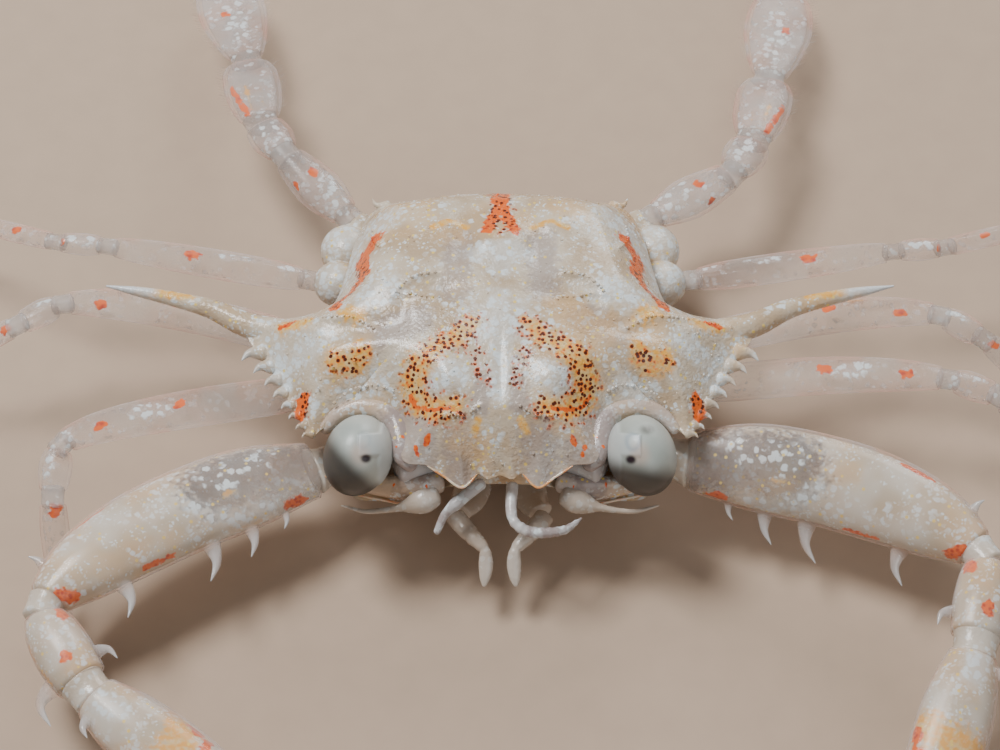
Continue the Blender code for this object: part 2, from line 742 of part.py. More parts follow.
def add_carapace():
    body = spread_body(CARAPACE_EDGE, CARAPACE_MESH, back_height, carapace_under)
    spikes = []
    edge = [Vector(p) for p in CARAPACE_EDGE[TOOTHED[0] : TOOTHED[1]]]
    for out in SIDES.values():
        for k in range(TEETH):
            share = k / (TEETH - 1)
            y = TOOTH_Y[0] + (TOOTH_Y[1] - TOOTH_Y[0]) * share**1.15
            low = max(p for p in range(len(edge) - 1) if edge[p].y <= y + 1e-6)
            start, end = edge[low], edge[low + 1]
            root = start.lerp(end, (y - start.y) / (end.y - start.y))
            length = TOOTH_LENGTH[0] + (TOOTH_LENGTH[1] - TOOTH_LENGTH[0]) * share**2
            width = TOOTH_WIDTH[0] + (TOOTH_WIDTH[1] - TOOTH_WIDTH[0]) * share
            aim = (out, -TOOTH_LEAN, 0.05)
            spikes.append(spike((out * root.x, y, root.z), aim, length, width))
        x, y, z = REAR_SPINE_ROOT
        dx, dy, dz = REAR_SPINE_AIM
        spikes.append(spike((out * x, y, z), (out * dx, dy, dz), *REAR_SPINE))
        side = [(out * x, y, z) for x, y, z in SIDE_SPINE]
        line, length = line_through(side), line_length(side)
        spikes.append(drawn_out(line, SIDE_SPINE_SHAPE, *SIDE_SPINE_MESH, length, blunt=(True, False)))
    node("carapace", body, SHELL, spikes)


def add_thorax(limbs):
    body = spread_body(THORAX_EDGE, THORAX_MESH, thorax_top, thorax_bottom)
    node("thorax", body, SHELL, [piece for limb in limbs for piece in limb.socket()])
    line = line_through(ABDOMEN_LINE)
    length = line_length(ABDOMEN_LINE)
    node("abdomen", drawn_out(line, ABDOMEN_SHAPE, *ABDOMEN_MESH, length, ABDOMEN_UP), SHELL)


def add_head():
    for side, out in SIDES.items():
        x, y, z = EYE_CENTRE
        node(f"eye_{side}", ball((out * x, y, z), EYE_RADII, EYE_MESH, out * EYE_TURN), EYE)
        limbs = (
            ("eyestalk", STALK_LINE, STALK_SHAPE, 10, 7, STALK, True),
            ("antennule", ANTENNULE_LINES[side], ANTENNULE_SHAPE, 8, 10, STALK, False),
            ("antenna", ANTENNA_LINE, ANTENNA_SHAPE, 8, 10, MOUTH, False),
            ("maxilliped", MAXILLIPED_LINE, MAXILLIPED_SHAPE, 10, 8, MOUTH, True),
            ("palp", PALP_LINE, PALP_SHAPE, 8, 11, MOUTH, False),
        )
        for name, points, shape, sides, rings, finish, blunt in limbs:
            line = line_through([(out * x, y, z) for x, y, z in points])
            body = drawn_out(line, shape, sides, rings, line_length(points), blunt=(True, blunt))
            node(f"{name}_{side}", body, finish)


def add_walking_leg(limb):
    for at, (article, length) in enumerate(ARTICLES[limb.kind]):
        line, _ = limb.article(at)
        last = at == len(ARTICLES[limb.kind]) - 1
        mesh = SIDES_OF[limb.kind], RINGS_OF[article]
        body = drawn_out(line, limb.shape(at), *mesh, length, blunt=(True, not last))
        node(f"{limb.kind}_{article}_{limb.side}", on_floor(body), CLEAR_LEG)


def finger_line(limb, spread):
    """The line of one finger of the claw, on the side of its palm that spread gives."""
    palm, _ = limb.article(3)
    end, ahead = palm(1)
    across, _ = frame_at(ahead, limb.up)
    inner = across if limb.side == "right" else -across
    tip = limb.joints[-1]
    reach = tip - end
    middle = end + reach * FINGER_MIDDLE + inner * (spread + math.copysign(FINGER_BOW, spread))
    root = end + inner * spread * FINGER_STANCE[0] + ahead * (GAP if spread > 0 else -FINGER_SUNK)
    return line_through((root, middle, tip + inner * spread * FINGER_STANCE[1])), inner


def bite_teeth(line, inner, toward):
    """The row of small teeth along a finger's biting edge."""
    count, (first, last), height, width = BITE
    rows = []
    for k in range(count):
        place = first + (last - first) * k / (count - 1)
        centre, _ = line(place)
        wide = along(FINGER_SHAPE, place)[0]
        rows.append(spike(centre + inner * toward * wide * 0.9, inner * toward, height, width))
    return rows


def add_claw_arm(limb):
    sides = SIDES_OF["claw"]
    spines = {}
    for article, *spine in CLAW_SPINES:
        spines.setdefault(article, []).append(spine)
    for at, (article, length) in enumerate(ARTICLES["claw"][:4]):
        rings = RINGS_OF.get(f"claw_{article}") or RINGS_OF[article]
        body = drawn_out(limb.article(at)[0], limb.shape(at), sides, rings, length, limb.up)
        more = [spine_on(limb, at, *spine) for spine in spines.get(article, ())]
        if article == "palm":
            line, inner = finger_line(limb, -FINGER_SPREAD)
            more += [finger(line, limb), *bite_teeth(line, inner, 1)]
        node(f"claw_{article}_{limb.side}", body, CLAW, more)
    line, inner = finger_line(limb, FINGER_SPREAD)
    node(f"claw_finger_{limb.side}", finger(line, limb), CLAW, bite_teeth(line, inner, -1))


def finger(line, limb):
    length = ARTICLES["claw"][-1][1]
    mesh = FINGER_SIDES, RINGS_OF["finger"]
    return on_floor(drawn_out(line, FINGER_SHAPE, *mesh, length, limb.up, (True, False)))


def stand_on_origin():
    """Turns millimetres into metres, with the origin on the floor under the middle."""
    corners = [v.co for obj in crab.objects for v in obj.data.vertices]
    middle = [(min(c[k] for c in corners) + max(c[k] for c in corners)) / 2 for k in (0, 1)]
    move = Matrix.Translation((-middle[0], -middle[1], -FLOOR))
    for obj in crab.objects:
        obj.data.transform(Matrix.Scale(MM, 4) @ move)
    print("moved by", [round(-m, 4) for m in middle], "mm")


for old in list(bpy.data.objects):
    bpy.data.objects.remove(old)
crab = bpy.data.collections.new("xiphonectes_stephensoni")
bpy.context.scene.collection.children.link(crab)

all_limbs = [Limb(kind, side) for kind in ARTICLES for side in SIDES]
add_carapace()
add_thorax(all_limbs)
add_head()
for one in all_limbs:
    if one.kind == "claw":
        add_claw_arm(one)
    else:
        add_walking_leg(one)
stand_on_origin()
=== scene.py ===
# %% [markdown]
# # A glass-clear swimming crab, life size
#
# The crab is 25 mm across its side spines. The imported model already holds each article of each
# limb at its true size and place. Here every one of them is made again as a finer surface in that
# same place, and gets the milky, speckled and partly clear skin of the living animal.

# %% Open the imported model
import math
import random
import bmesh
import bpy
import numpy as np
from mathutils import Matrix, Vector


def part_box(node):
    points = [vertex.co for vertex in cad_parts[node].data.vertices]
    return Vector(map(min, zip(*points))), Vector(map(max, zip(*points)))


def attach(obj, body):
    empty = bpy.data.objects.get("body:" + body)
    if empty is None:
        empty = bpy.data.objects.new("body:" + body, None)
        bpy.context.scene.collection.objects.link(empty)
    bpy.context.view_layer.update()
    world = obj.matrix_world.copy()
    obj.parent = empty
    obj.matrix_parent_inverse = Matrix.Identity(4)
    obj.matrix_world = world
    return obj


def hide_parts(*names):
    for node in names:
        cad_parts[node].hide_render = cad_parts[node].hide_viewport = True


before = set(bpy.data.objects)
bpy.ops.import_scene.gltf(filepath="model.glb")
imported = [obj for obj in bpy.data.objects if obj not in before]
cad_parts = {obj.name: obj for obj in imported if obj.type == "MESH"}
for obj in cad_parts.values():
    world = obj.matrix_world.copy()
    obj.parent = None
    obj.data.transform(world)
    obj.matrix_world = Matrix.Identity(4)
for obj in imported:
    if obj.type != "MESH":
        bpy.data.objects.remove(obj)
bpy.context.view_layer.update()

print(len(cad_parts), "nodes in the frame")

# %% [markdown]
# A small animal is easiest to describe in millimetres from its own middle line. The frame's origin
# lies under the middle of the whole pose, legs and all. The eyes are a pair, so the point halfway
# between them tells where the crab's own middle line runs.

# %% Units and the crab's own middle
MM = 0.001
UP = Vector((0, 0, 1))
SIDES = {"right": -1, "left": 1}
EYE_CENTRE = Vector((4.41, -4.18, 4.22))
eye_middles = [sum(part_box(f"eye_{side}"), Vector()) / 2 for side in SIDES]
between_eyes = sum(eye_middles, Vector()) / 2
SHIFT = Vector((between_eyes.x, between_eyes.y - EYE_CENTRE.y * MM, 0))
print("the crab's middle is", [round(v / MM, 3) for v in SHIFT], "mm from the frame's origin")

# %% [markdown]
# Limbs, spines and feelers all follow bent lines. A cubic curve through a few points gives such a
# line, and measuring its length lets rings be set at even steps along it. The same curve, run
# through numbers in place of points, gives the widths along an article.

# %% Smooth curves
CURVE_STEPS = 48


def hermite(start, end, leave, arrive, t):
    """The point at t on the curve that leaves start and arrives at end with the given slopes."""
    return (
        start * (2 * t**3 - 3 * t**2 + 1)
        + leave * (t**3 - 2 * t**2 + t)
        + end * (3 * t**2 - 2 * t**3)
        + arrive * (t**3 - t**2)
    )


def along(knots, place):
    """The values at one place of a smooth curve through knots of (place, value, ...)."""
    place = min(max(place, knots[0][0]), knots[-1][0])
    at = max(k for k in range(len(knots) - 1) if knots[k][0] <= place)
    before, start, end = knots[max(at - 1, 0)], knots[at], knots[at + 1]
    after = knots[min(at + 2, len(knots) - 1)]
    span = end[0] - start[0]
    values = []
    for a, b, c, d in zip(before[1:], start[1:], end[1:], after[1:]):
        rise = (c - a) / (end[0] - before[0]) * span
        fall = (d - b) / (after[0] - start[0]) * span
        values.append(hermite(b, c, rise, fall, (place - start[0]) / span))
    return values


def evenly(curve, last, trim=(0, 0)):
    """The line of curve(0..last) by its length, less what trim takes off its two ends."""
    marks = [last * k / CURVE_STEPS for k in range(CURVE_STEPS + 1)]
    points = [curve(t) for t in marks]
    reach = [0.0]
    for a, b in zip(points, points[1:]):
        reach.append(reach[-1] + (b - a).length)

    def line(place):
        far = trim[0] + place * (reach[-1] - trim[0] - trim[1])
        at = max(k for k in range(CURVE_STEPS) if reach[k] <= far + 1e-9)
        share = (far - reach[at]) / (reach[at + 1] - reach[at])
        t = marks[at] + share * (marks[at + 1] - marks[at])
        low, high = max(t - 1e-3, 0), min(t + 1e-3, last)
        return curve(t), (curve(high) - curve(low)).normalized()

    return line


def line_through(points, bend=0.8):
    """A function from 0..1 to (point, direction) on a smooth line through the points."""
    points = [Vector(p) for p in points]
    steps = [b - a for a, b in zip(points, points[1:])]
    heads = [steps[0].normalized()]
    heads += [(a.normalized() + b.normalized()).normalized() for a, b in zip(steps, steps[1:])]
    heads.append(steps[-1].normalized())

    def curve(t):
        at = min(int(t), len(steps) - 1)
        size = steps[at].length * bend
        return hermite(points[at], points[at + 1], heads[at] * size, heads[at + 1] * size, t - at)

    return evenly(curve, len(steps))


def line_length(points):
    return sum((Vector(b) - Vector(a)).length for a, b in zip(points, points[1:]))


print("curves are read at", CURVE_STEPS, "steps")

# %% [markdown]
# A crab's armour is a set of closed, rounded tubes. Each can start as Blender's UV sphere: its
# rings become the cross sections and its poles close the ends, so there is never an open end to
# fill. A relief function can raise ridges or sink furrows anywhere on the tube.

# %% A sphere drawn out along a line
CAP = 0.16


def frame_at(ahead, up):
    """The directions across and flat-side up of a section that faces ahead."""
    across = up.cross(ahead).normalized()
    return across, ahead.cross(across)


def ring_places(rings, length, caps):
    """Place and fullness of each ring: rounded ends, and even steps between them."""
    steps = max(3, rings // 8)
    turns = [math.pi / 2 * k / steps for k in range(steps + 1)]
    first, last = (min(cap / length, 0.2) for cap in caps)
    start = [(first * (1 - math.cos(a)), math.sin(a)) for a in turns]
    end = [(1 - last * (1 - math.cos(a)), math.sin(a)) for a in reversed(turns)]
    inner = rings + 1 - len(start) - len(end)
    span = 1 - first - last
    return start + [(first + span * (k + 1) / (inner + 1), 1) for k in range(inner)] + end


def drawn_out(line, shape, mesh, length, up=UP, caps=(CAP, CAP), relief=None):
    """A bmesh of a sphere drawn out along a line, with half widths and half depths from shape."""
    sides, rings = mesh
    bm = bmesh.new()
    bmesh.ops.create_uvsphere(bm, u_segments=sides, v_segments=rings, radius=1)
    frames = []
    for place, full in ring_places(rings, length, caps):
        centre, ahead = line(place)
        across, flat = frame_at(ahead, up)
        wide, deep = along(shape, place)
        frames.append((place, full, centre, across, flat, wide, deep))
    for vert in bm.verts:
        ring = rings - round(math.acos(max(-1, min(1, vert.co.z))) / math.pi * rings)
        turn = math.atan2(vert.co.y, vert.co.x)
        place, full, centre, across, flat, wide, deep = frames[ring]
        raised = relief(place, turn) if relief else 0
        sideways = (wide + raised) * full * math.cos(turn)
        upwards = (deep + raised) * full * math.sin(turn)
        vert.co = centre + across * sideways + flat * upwards
    return bm


def ball(centre, radii, mesh, turn=0):
    """An ellipsoid, turned about the vertical by an angle in degrees."""
    bm = bmesh.new()
    bmesh.ops.create_uvsphere(bm, u_segments=mesh[0], v_segments=mesh[1], radius=1)
    bm.transform(Matrix.Diagonal((*radii, 1)))
    bm.transform(Matrix.Rotation(math.radians(turn), 4, "Z"))
    bm.transform(Matrix.Translation(centre))
    return bm


SPINE_SHAPE = (
    (0, 1.5, 1.3),  # flared root
    (0.3, 1.15, 1.0),
    (0.52, 0.72, 0.70),
    (0.76, 0.38, 0.38),
    (1, 0.05, 0.05),
)
SPINE_MESH = (14, 18)


def curved_spine(root, out, lean, length, width):
    """A spine that leaves its root straight out and bends over by lean towards its tip."""
    sunk = root - out * (0.3 * length + 0.12)
    middle = root + (out + lean * 0.4).normalized() * length * 0.5
    tip = root + (out + lean).normalized() * length
    shape = [(place, wide * width, deep * width) for place, wide, deep in SPINE_SHAPE]
    line = line_through((sunk, middle, tip))
    return drawn_out(line, shape, SPINE_MESH, length, out.cross(lean), (0.1, 0.02))


print("a spine has", SPINE_MESH[0], "sides")

# %% [markdown]
# The colours of a living crab sit in spots with ragged edges. Each mark is drawn as a stroke: a
# line of points with a half width. For every vertex the distance to the nearest stroke becomes a
# number from 0 to 1, kept on the mesh as an attribute. It passes 0.5 at the stroke's edge, so a
# material can fray that edge with noise.

# %% Strokes of colour
MARKS = ("orange", "amber", "white", "bare", "dots", "tip")


def distance_to(points, line):
    """How far each of the points lies from a line of points."""
    line = [np.array(p, float) for p in line]
    nearest = np.linalg.norm(points - line[0], axis=1)
    for a, b in zip(line, line[1:]):
        share = np.clip((points - a) @ (b - a) / ((b - a) @ (b - a)), 0, 1)
        nearest = np.minimum(nearest, np.linalg.norm(points - a - share[:, None] * (b - a), axis=1))
    return nearest


def mask_of(points, strokes):
    """1 on a stroke's middle line, 0.5 at its edge and 0 at twice its half width."""
    mask = np.zeros(len(points))
    for width, line in strokes:
        mask = np.maximum(mask, 1 - 0.5 * distance_to(points, line) / width)
    return mask


def mirrored_to(out, points):
    """The points of the left side as they are, or mirrored to the right, where out is -1."""
    return [(out * p[0], *p[1:]) for p in points]


def both_sides(strokes):
    """The strokes of one side, and the same mirrored to the other."""
    return list(strokes) + [(width, mirrored_to(-1, line)) for width, line in strokes]


def keep_mask(mesh, name, values):
    layer = mesh.attributes.new(name, "FLOAT", "POINT")
    layer.data.foreach_set("value", np.ascontiguousarray(values, np.float32))


print("kinds of mark:", ", ".join(MARKS))

# %% [markdown]
# Spines, teeth and sockets are closed shapes of their own. A Boolean union fuses them into the
# body they grow from, so the clear skin has no hidden walls inside. The finished mesh is then
# painted, scaled to metres and moved to its place, and the piece of the frame that it replaces is hidden.
# A clear limb has two layers in one mesh: the cuticle, and the flesh within as a second slot.

# %% From a shape to a finished piece


def mesh_object(name, bm):
    mesh = bpy.data.meshes.new(name)
    bm.to_mesh(mesh)
    bm.free()
    obj = bpy.data.objects.new(name, mesh)
    bpy.context.scene.collection.objects.link(obj)
    return obj


def fuse(obj, pieces):
    """Joins the pieces to obj with one Boolean union."""
    group = bpy.data.collections.new(obj.name + "_grown")
    bpy.context.scene.collection.children.link(group)
    for piece in pieces:
        bpy.context.scene.collection.objects.unlink(piece)
        group.objects.link(piece)
    union = obj.modifiers.new("Union", "BOOLEAN")
    union.operation = "UNION"
    union.operand_type = "COLLECTION"
    union.collection = group
    union.solver = "MANIFOLD"
    graph = bpy.context.evaluated_depsgraph_get()
    fused = bpy.data.meshes.new_from_object(obj.evaluated_get(graph))
    obj.modifiers.clear()
    fused.materials.clear()
    obj.data = fused
    for piece in pieces:
        bpy.data.objects.remove(piece)
    bpy.data.collections.remove(group)


def absorb(bm, shapes):
    """Moves other closed shapes into bm, which it returns."""
    for shape in shapes:
        extra = bpy.data.meshes.new("extra")
        shape.to_mesh(extra)
        shape.free()
        bm.from_mesh(extra)
        bpy.data.meshes.remove(extra)
    return bm


def add_loose(obj, shapes):
    """Adds small closed shapes, such as grains and hairs, to the object's mesh."""
    bm = bmesh.new()
    bm.from_mesh(obj.data)
    absorb(bm, shapes).to_mesh(obj.data)
    bm.free()


def points_of(mesh):
    flat = np.empty(len(mesh.vertices) * 3, np.float32)
    mesh.vertices.foreach_get("co", flat)
    return flat.reshape(-1, 3).astype(float)


def finish_piece(
    name,
    bm,
    finishes,
    replaces=(),
    grown=(),
    loose=(),
    flesh=None,
    strokes=None,
    masks=None,
):
    """Makes one visible piece of the crab, from shapes in millimetres.

    Grown shapes are fused to it, loose ones only join its mesh, and flesh takes the second finish.
    Strokes and masks become attributes, which the finishes read.
    """
    obj = mesh_object(name, bm)
    if grown:
        fuse(obj, [mesh_object(f"{name}_{at}", extra) for at, extra in enumerate(grown)])
    if flesh:
        for face in flesh.faces:
            face.material_index = 1
        loose = [*loose, flesh]
    if loose:
        add_loose(obj, loose)
    points = points_of(obj.data)
    for kind, lines in (strokes or {}).items():
        plan = points.copy()
        if len(lines[0][1][0]) == 2:
            plan = plan[:, :2]
        keep_mask(obj.data, kind, mask_of(plan, lines))
    for kind, values in (masks(points) if masks else {}).items():
        keep_mask(obj.data, kind, values)
    obj.data.transform(Matrix.Translation(SHIFT) @ Matrix.Scale(MM, 4))
    for material in finishes:
        obj.data.materials.append(material)
    obj.data.shade_smooth()
    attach(obj, "root")
    if replaces:
        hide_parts(*replaces)
    return obj


# %% [markdown]
# One node group draws the pattern that all the armour shares: a cloudy ground, ragged bluish-white
# flecks, golden grains that paint small glints of light, and orange marks full of dark dots. It measures
# the surface in millimetres from Object coordinates. Each material gives it its own colours and amounts.

# %% The shared skin pattern


def put(tree, kind, inputs=(), **settings):
    """Adds a node, sets its properties, then fills or links its inputs."""
    made = tree.nodes.new(kind)
    for key, value in settings.items():
        setattr(made, key, value)
    for key, value in dict(inputs).items():
        if isinstance(value, bpy.types.NodeSocket):
            tree.links.new(value, made.inputs[key])
        else:
            made.inputs[key].default_value = value
    return made


def maths(tree, operation, a, b=0.0):
    made = put(tree, "ShaderNodeMath", {0: a, 1: b}, operation=operation)
    return made.outputs[0]


def ramp(tree, value, low, high):
    """0 below low and 1 above high, smooth between. A low above high turns it round."""
    made = put(
        tree,
        "ShaderNodeMapRange",
        {"Value": value, "From Min": low, "From Max": high},
        interpolation_type="SMOOTHSTEP",
    )
    return made.outputs["Result"]


def blend(tree, share, first, second):
    made = put(tree, "ShaderNodeMix", data_type="RGBA")
    for at, value in ((0, share), (6, first), (7, second)):
        if isinstance(value, bpy.types.NodeSocket):
            tree.links.new(value, made.inputs[at])
        else:
            made.inputs[at].default_value = value
    return made.outputs[2]


def cloud(tree, place, scale, detail=2.0):
    made = put(tree, "ShaderNodeTexNoise", {"Vector": place, "Scale": scale, "Detail": detail})
    return made


def cells(tree, place, scale, randomness=1.0):
    inputs = {"Vector": place, "Scale": scale, "Randomness": randomness}
    return put(tree, "ShaderNodeTexVoronoi", inputs).outputs["Distance"]


def new_material(name, **plain):
    """A material's node tree and its Principled BSDF, with plain values such as IOR=1.4 set."""
    mat = bpy.data.materials.new(name)
    mat.use_nodes = True
    shader = mat.node_tree.nodes["Principled BSDF"]
    for label, value in plain.items():
        socket = label if label == "IOR" else label.replace("_", " ").title()
        shader.inputs[socket].default_value = value
    return mat, mat.node_tree, shader


def new_group(name, inputs, outputs):
    tree = bpy.data.node_groups.new(name, "ShaderNodeTree")
    for label, kind, value in inputs:
        socket = tree.interface.new_socket(label, in_out="INPUT", socket_type=f"NodeSocket{kind}")
        socket.default_value = value
    for label, kind in outputs:
        tree.interface.new_socket(label, in_out="OUTPUT", socket_type=f"NodeSocket{kind}")
    return tree, put(tree, "NodeGroupInput"), put(tree, "NodeGroupOutput")


ORANGE = (0.86, 0.15, 0.02, 1)
DEEP_ORANGE = (0.55, 0.045, 0.01, 1)
AMBER = (0.86, 0.42, 0.06, 1)
PALE_AMBER = (0.80, 0.55, 0.22, 1)
HAZE = (0.70, 0.44, 0.20, 1)
DOT = (0.10, 0.02, 0.01, 1)
GLINT_GOLD = (0.90, 0.66, 0.16, 1)
SMOKE = (0.33, 0.27, 0.26, 1)
SPINE_WHITE = (0.66, 0.69, 0.71, 1)


def build_skin_pattern(name, rich):
    """The pattern; the rich one of the back and claws adds crumbs, haze, golden grains of painted glint, and
    dots.
    """
    inputs = [
        ("Ground", "Color", (0.6, 0.56, 0.5, 1)),
        ("Cloud", "Color", (0.76, 0.74, 0.7, 1)),
        ("Fleck", "Color", (0.74, 0.80, 0.82, 1)),
        ("Cover", "Float", 0.5),
        ("Haze", "Float", 0.5),
        ("Milk", "Float", 1.0),
        ("Smoke", "Float", 1.0),
    ]
    inputs += [(kind.title(), "Float", 0.0) for kind in MARKS]
    outputs = [("Color", "Color"), ("Roughness", "Float"), ("Height", "Float"), ("Opacity", "Float")]
    tree, given, result = new_group(name, inputs, outputs)
    mark = given.outputs
    coords = put(tree, "ShaderNodeTexCoord").outputs["Object"]
    place = put(tree, "ShaderNodeVectorMath", {0: coords, "Scale": 1000.0}, operation="SCALE").outputs[0]

    fray = cloud(tree, place, 5.0, 1.5)
    shove = put(tree, "ShaderNodeVectorMath", {0: fray.outputs["Color"], "Scale": 0.22}, operation="SCALE")
    wavy = put(tree, "ShaderNodeVectorMath", {0: place, 1: shove.outputs[0]}, operation="ADD").outputs[0]
    ragged = maths(tree, "MULTIPLY_ADD", fray.outputs["Fac"], 0.9)
    ragged.node.inputs[2].default_value = -0.45

    def frayed(label, low, high):
        rough_edge = maths(tree, "ADD", mark[label], ragged)
        return ramp(tree, rough_edge, low, high)

    def times(*factors):
        product = factors[0]
        for factor in factors[1:]:
            product = maths(tree, "MULTIPLY", product, factor)
        return product

    def without(mask, share=1.0):
        made = maths(tree, "MULTIPLY_ADD", mask, -share)
        made.node.inputs[2].default_value = 1.0
        return made

    orange, amber = frayed("Orange", 0.42, 0.60), frayed("Amber", 0.25, 0.75)
    white, bare = frayed("White", 0.30, 0.72), frayed("Bare", 0.25, 0.70)

    clusters = ramp(tree, cloud(tree, place, 0.9, 2.0).outputs["Fac"], 0.44, 0.60)
    scatter = ramp(tree, cloud(tree, place, 2.4, 1.0).outputs["Fac"], 0.47, 0.60)
    blot_cells = cells(tree, wavy, 3.6)
    blots = ramp(tree, blot_cells, 0.44, 0.28)
    crumbs = ramp(tree, cells(tree, wavy, 7.5), 0.40, 0.26) if rich else times(blots, 0.8)
    flecks = maths(tree, "MAXIMUM", times(clusters, blots), times(scatter, crumbs))
    flecks = times(flecks, without(bare, 0.65), mark["Cover"])
    net = maths(tree, "MAXIMUM", ramp(tree, blot_cells, 0.62, 0.36), 0.35)
    flecks = maths(tree, "MAXIMUM", flecks, times(white, net))

    soft = ramp(tree, cloud(tree, place, 0.6, 2.0).outputs["Fac"], 0.36, 0.62)
    colour = blend(tree, soft, mark["Ground"], mark["Cloud"])
    colour = blend(tree, times(bare, mark["Smoke"]), colour, SMOKE)
    if rich:
        warmth = ramp(tree, cloud(tree, wavy, 0.42, 2.0).outputs["Fac"], 0.50, 0.66)
        colour = blend(tree, times(warmth, mark["Haze"]), colour, HAZE)
    gold_wash = blend(tree, ramp(tree, fray.outputs["Fac"], 0.35, 0.60), PALE_AMBER, AMBER)
    colour = blend(tree, times(amber, 0.92), colour, gold_wash)
    shy = times(flecks, without(amber, 0.85))
    colour = blend(tree, shy, colour, mark["Fleck"])
    dark_cells, solid = blot_cells, [orange, times(amber, 0.8)]
    if rich:
        # The golden grains paint small glints of light into the colour.
        specks = put(tree, "ShaderNodeTexVoronoi", {"Vector": place, "Scale": 6.2, "Randomness": 0.9})
        dark_cells = specks.outputs["Distance"]
        lot = put(tree, "ShaderNodeSeparateColor", {0: specks.outputs["Color"]}).outputs[0]
        grains = times(ramp(tree, dark_cells, 0.40, 0.28), ramp(tree, lot, 0.90, 0.92))
        colour = blend(tree, times(grains, 0.85), colour, GLINT_GOLD)
    fiery = blend(tree, ramp(tree, dark_cells, 0.15, 0.55), DEEP_ORANGE, ORANGE)
    colour = blend(tree, orange, colour, fiery)
    if rich:
        dotted, uneven = frayed("Dots", 0.30, 0.60), ramp(tree, fray.outputs["Fac"], 0.40, 0.60)
        halo = times(ramp(tree, dark_cells, 0.62, 0.40), dotted, uneven)
        colour = blend(tree, times(halo, 0.85), colour, ORANGE)
        dots = times(ramp(tree, dark_cells, 0.42, 0.32), dotted)
        colour = blend(tree, dots, colour, DOT)
        colour = blend(tree, mark["Tip"], colour, SPINE_WHITE)
        solid += [grains, dots]

    rough = maths(tree, "MULTIPLY_ADD", flecks, 0.14)
    rough.node.inputs[2].default_value = 0.26
    height = cloud(tree, place, 9.0, 1.0).outputs["Fac"]
    milk = times(mark["Milk"], without(bare, 0.64))
    opacity = maths(tree, "MAXIMUM", milk, times(shy, 0.95))
    for mask in solid:
        opacity = maths(tree, "MAXIMUM", opacity, mask)
    for label, value in (("Color", colour), ("Roughness", rough), ("Height", height), ("Opacity", opacity)):
        tree.links.new(value, result.inputs[label])
    return tree


RICH_PATTERN = build_skin_pattern("Rich skin pattern", True)
PLAIN_PATTERN = build_skin_pattern("Plain skin pattern", False)
print("skin patterns:", len(RICH_PATTERN.nodes), "and", len(PLAIN_PATTERN.nodes), "nodes")

# %% [markdown]
# The back is opaque and glossy, with the marks in its surface. In the limbs the marks lie in the
# flesh under a clear cuticle, which carries the gloss. Flesh is see-through wherever the pattern
# leaves it without milk, so its Opacity feeds Alpha.

# %% A skin material
GRAIN_DEPTH = 0.00006


def skin(name, ground, second, cover, haze, milk=None, smoke=0.85, grain=0.5, marks=MARKS):
    """A skin: two ground colours, then shares of flecks, amber haze, milk, smoke and fine grain."""
    gloss = {"coat_weight": 0.3, "coat_roughness": 0.12} if milk is None else {}
    mat, tree, shader = new_material(name, IOR=1.38, **gloss)
    pattern = put(tree, "ShaderNodeGroup", node_tree=RICH_PATTERN if haze > 0 else PLAIN_PATTERN)
    pattern.inputs["Ground"].default_value = (*ground, 1)
    pattern.inputs["Cloud"].default_value = (*second, 1)
    pattern.inputs["Cover"].default_value = cover
    pattern.inputs["Haze"].default_value = haze
    pattern.inputs["Smoke"].default_value = smoke
    for kind in marks:
        mask = put(tree, "ShaderNodeAttribute", attribute_name=kind)
        tree.links.new(mask.outputs["Fac"], pattern.inputs[kind.title()])
    if grain:
        height = pattern.outputs["Height"]
        bump = put(tree, "ShaderNodeBump", {"Height": height, "Distance": GRAIN_DEPTH})
        bump.inputs["Strength"].default_value = grain
        tree.links.new(bump.outputs["Normal"], shader.inputs["Normal"])
    tree.links.new(pattern.outputs["Color"], shader.inputs["Base Color"])
    tree.links.new(pattern.outputs["Roughness"], shader.inputs["Roughness"])
    if milk is not None:
        pattern.inputs["Milk"].default_value = milk
        tree.links.new(pattern.outputs["Opacity"], shader.inputs["Alpha"])
    return mat


LIMB_KINDS = ("orange", "amber", "white", "bare")
WARM, WARM_PALE = (0.55, 0.45, 0.33), (0.66, 0.60, 0.51)
CLEAR, CLEAR_PALE = (0.55, 0.45, 0.40), (0.64, 0.60, 0.57)
SHELL = skin("shell_skin", (0.50, 0.37, 0.24), (0.66, 0.57, 0.45), 0.95, 0.6, smoke=0.6)
CLAW = skin("claw_flesh", WARM, WARM_PALE, 0.85, 0.5, milk=1.0, grain=0, marks=LIMB_KINDS)
LEG = skin("leg_flesh", CLEAR, CLEAR_PALE, 0.42, 0, milk=0.07, grain=0, marks=LIMB_KINDS)
SWIM = skin(
    "swimming_leg_flesh", (0.54, 0.45, 0.40), (0.62, 0.59, 0.57), 0.9, 0, milk=0.3, grain=0, marks=LIMB_KINDS
)
MOUTH = skin("mouthpart_skin", (0.50, 0.41, 0.33), (0.58, 0.51, 0.44), 0.3, 0, grain=0.3, marks=())
STALK = skin(
    "stalk_skin", (0.52, 0.47, 0.46), (0.64, 0.62, 0.61), 0.7, 0, grain=0.3, marks=("white", "bare")
)
ORBIT = skin(
    "orbit_skin", (0.56, 0.43, 0.34), (0.62, 0.55, 0.50), 0.8, 0.3, grain=0.4, marks=("orange", "bare")
)
print("skins:", [mat.name for mat in (SHELL, CLAW, LEG, SWIM, MOUTH, STALK, ORBIT)])

# %% [markdown]
# The cuticle over that flesh is as clear as glass. Only where it is seen along its surface, at the
# edges, does it gather light into a thin pinkish line. Layer Weight gives that, and it also keeps
# the spines milky, because their points hold no flesh.

# %% The clear cuticle
CUTICLE_PINK = (0.74, 0.66, 0.64, 1)
EDGE_OPACITY, EDGE_POWER = 0.95, 2.6
TIP_OPACITY = 0.72


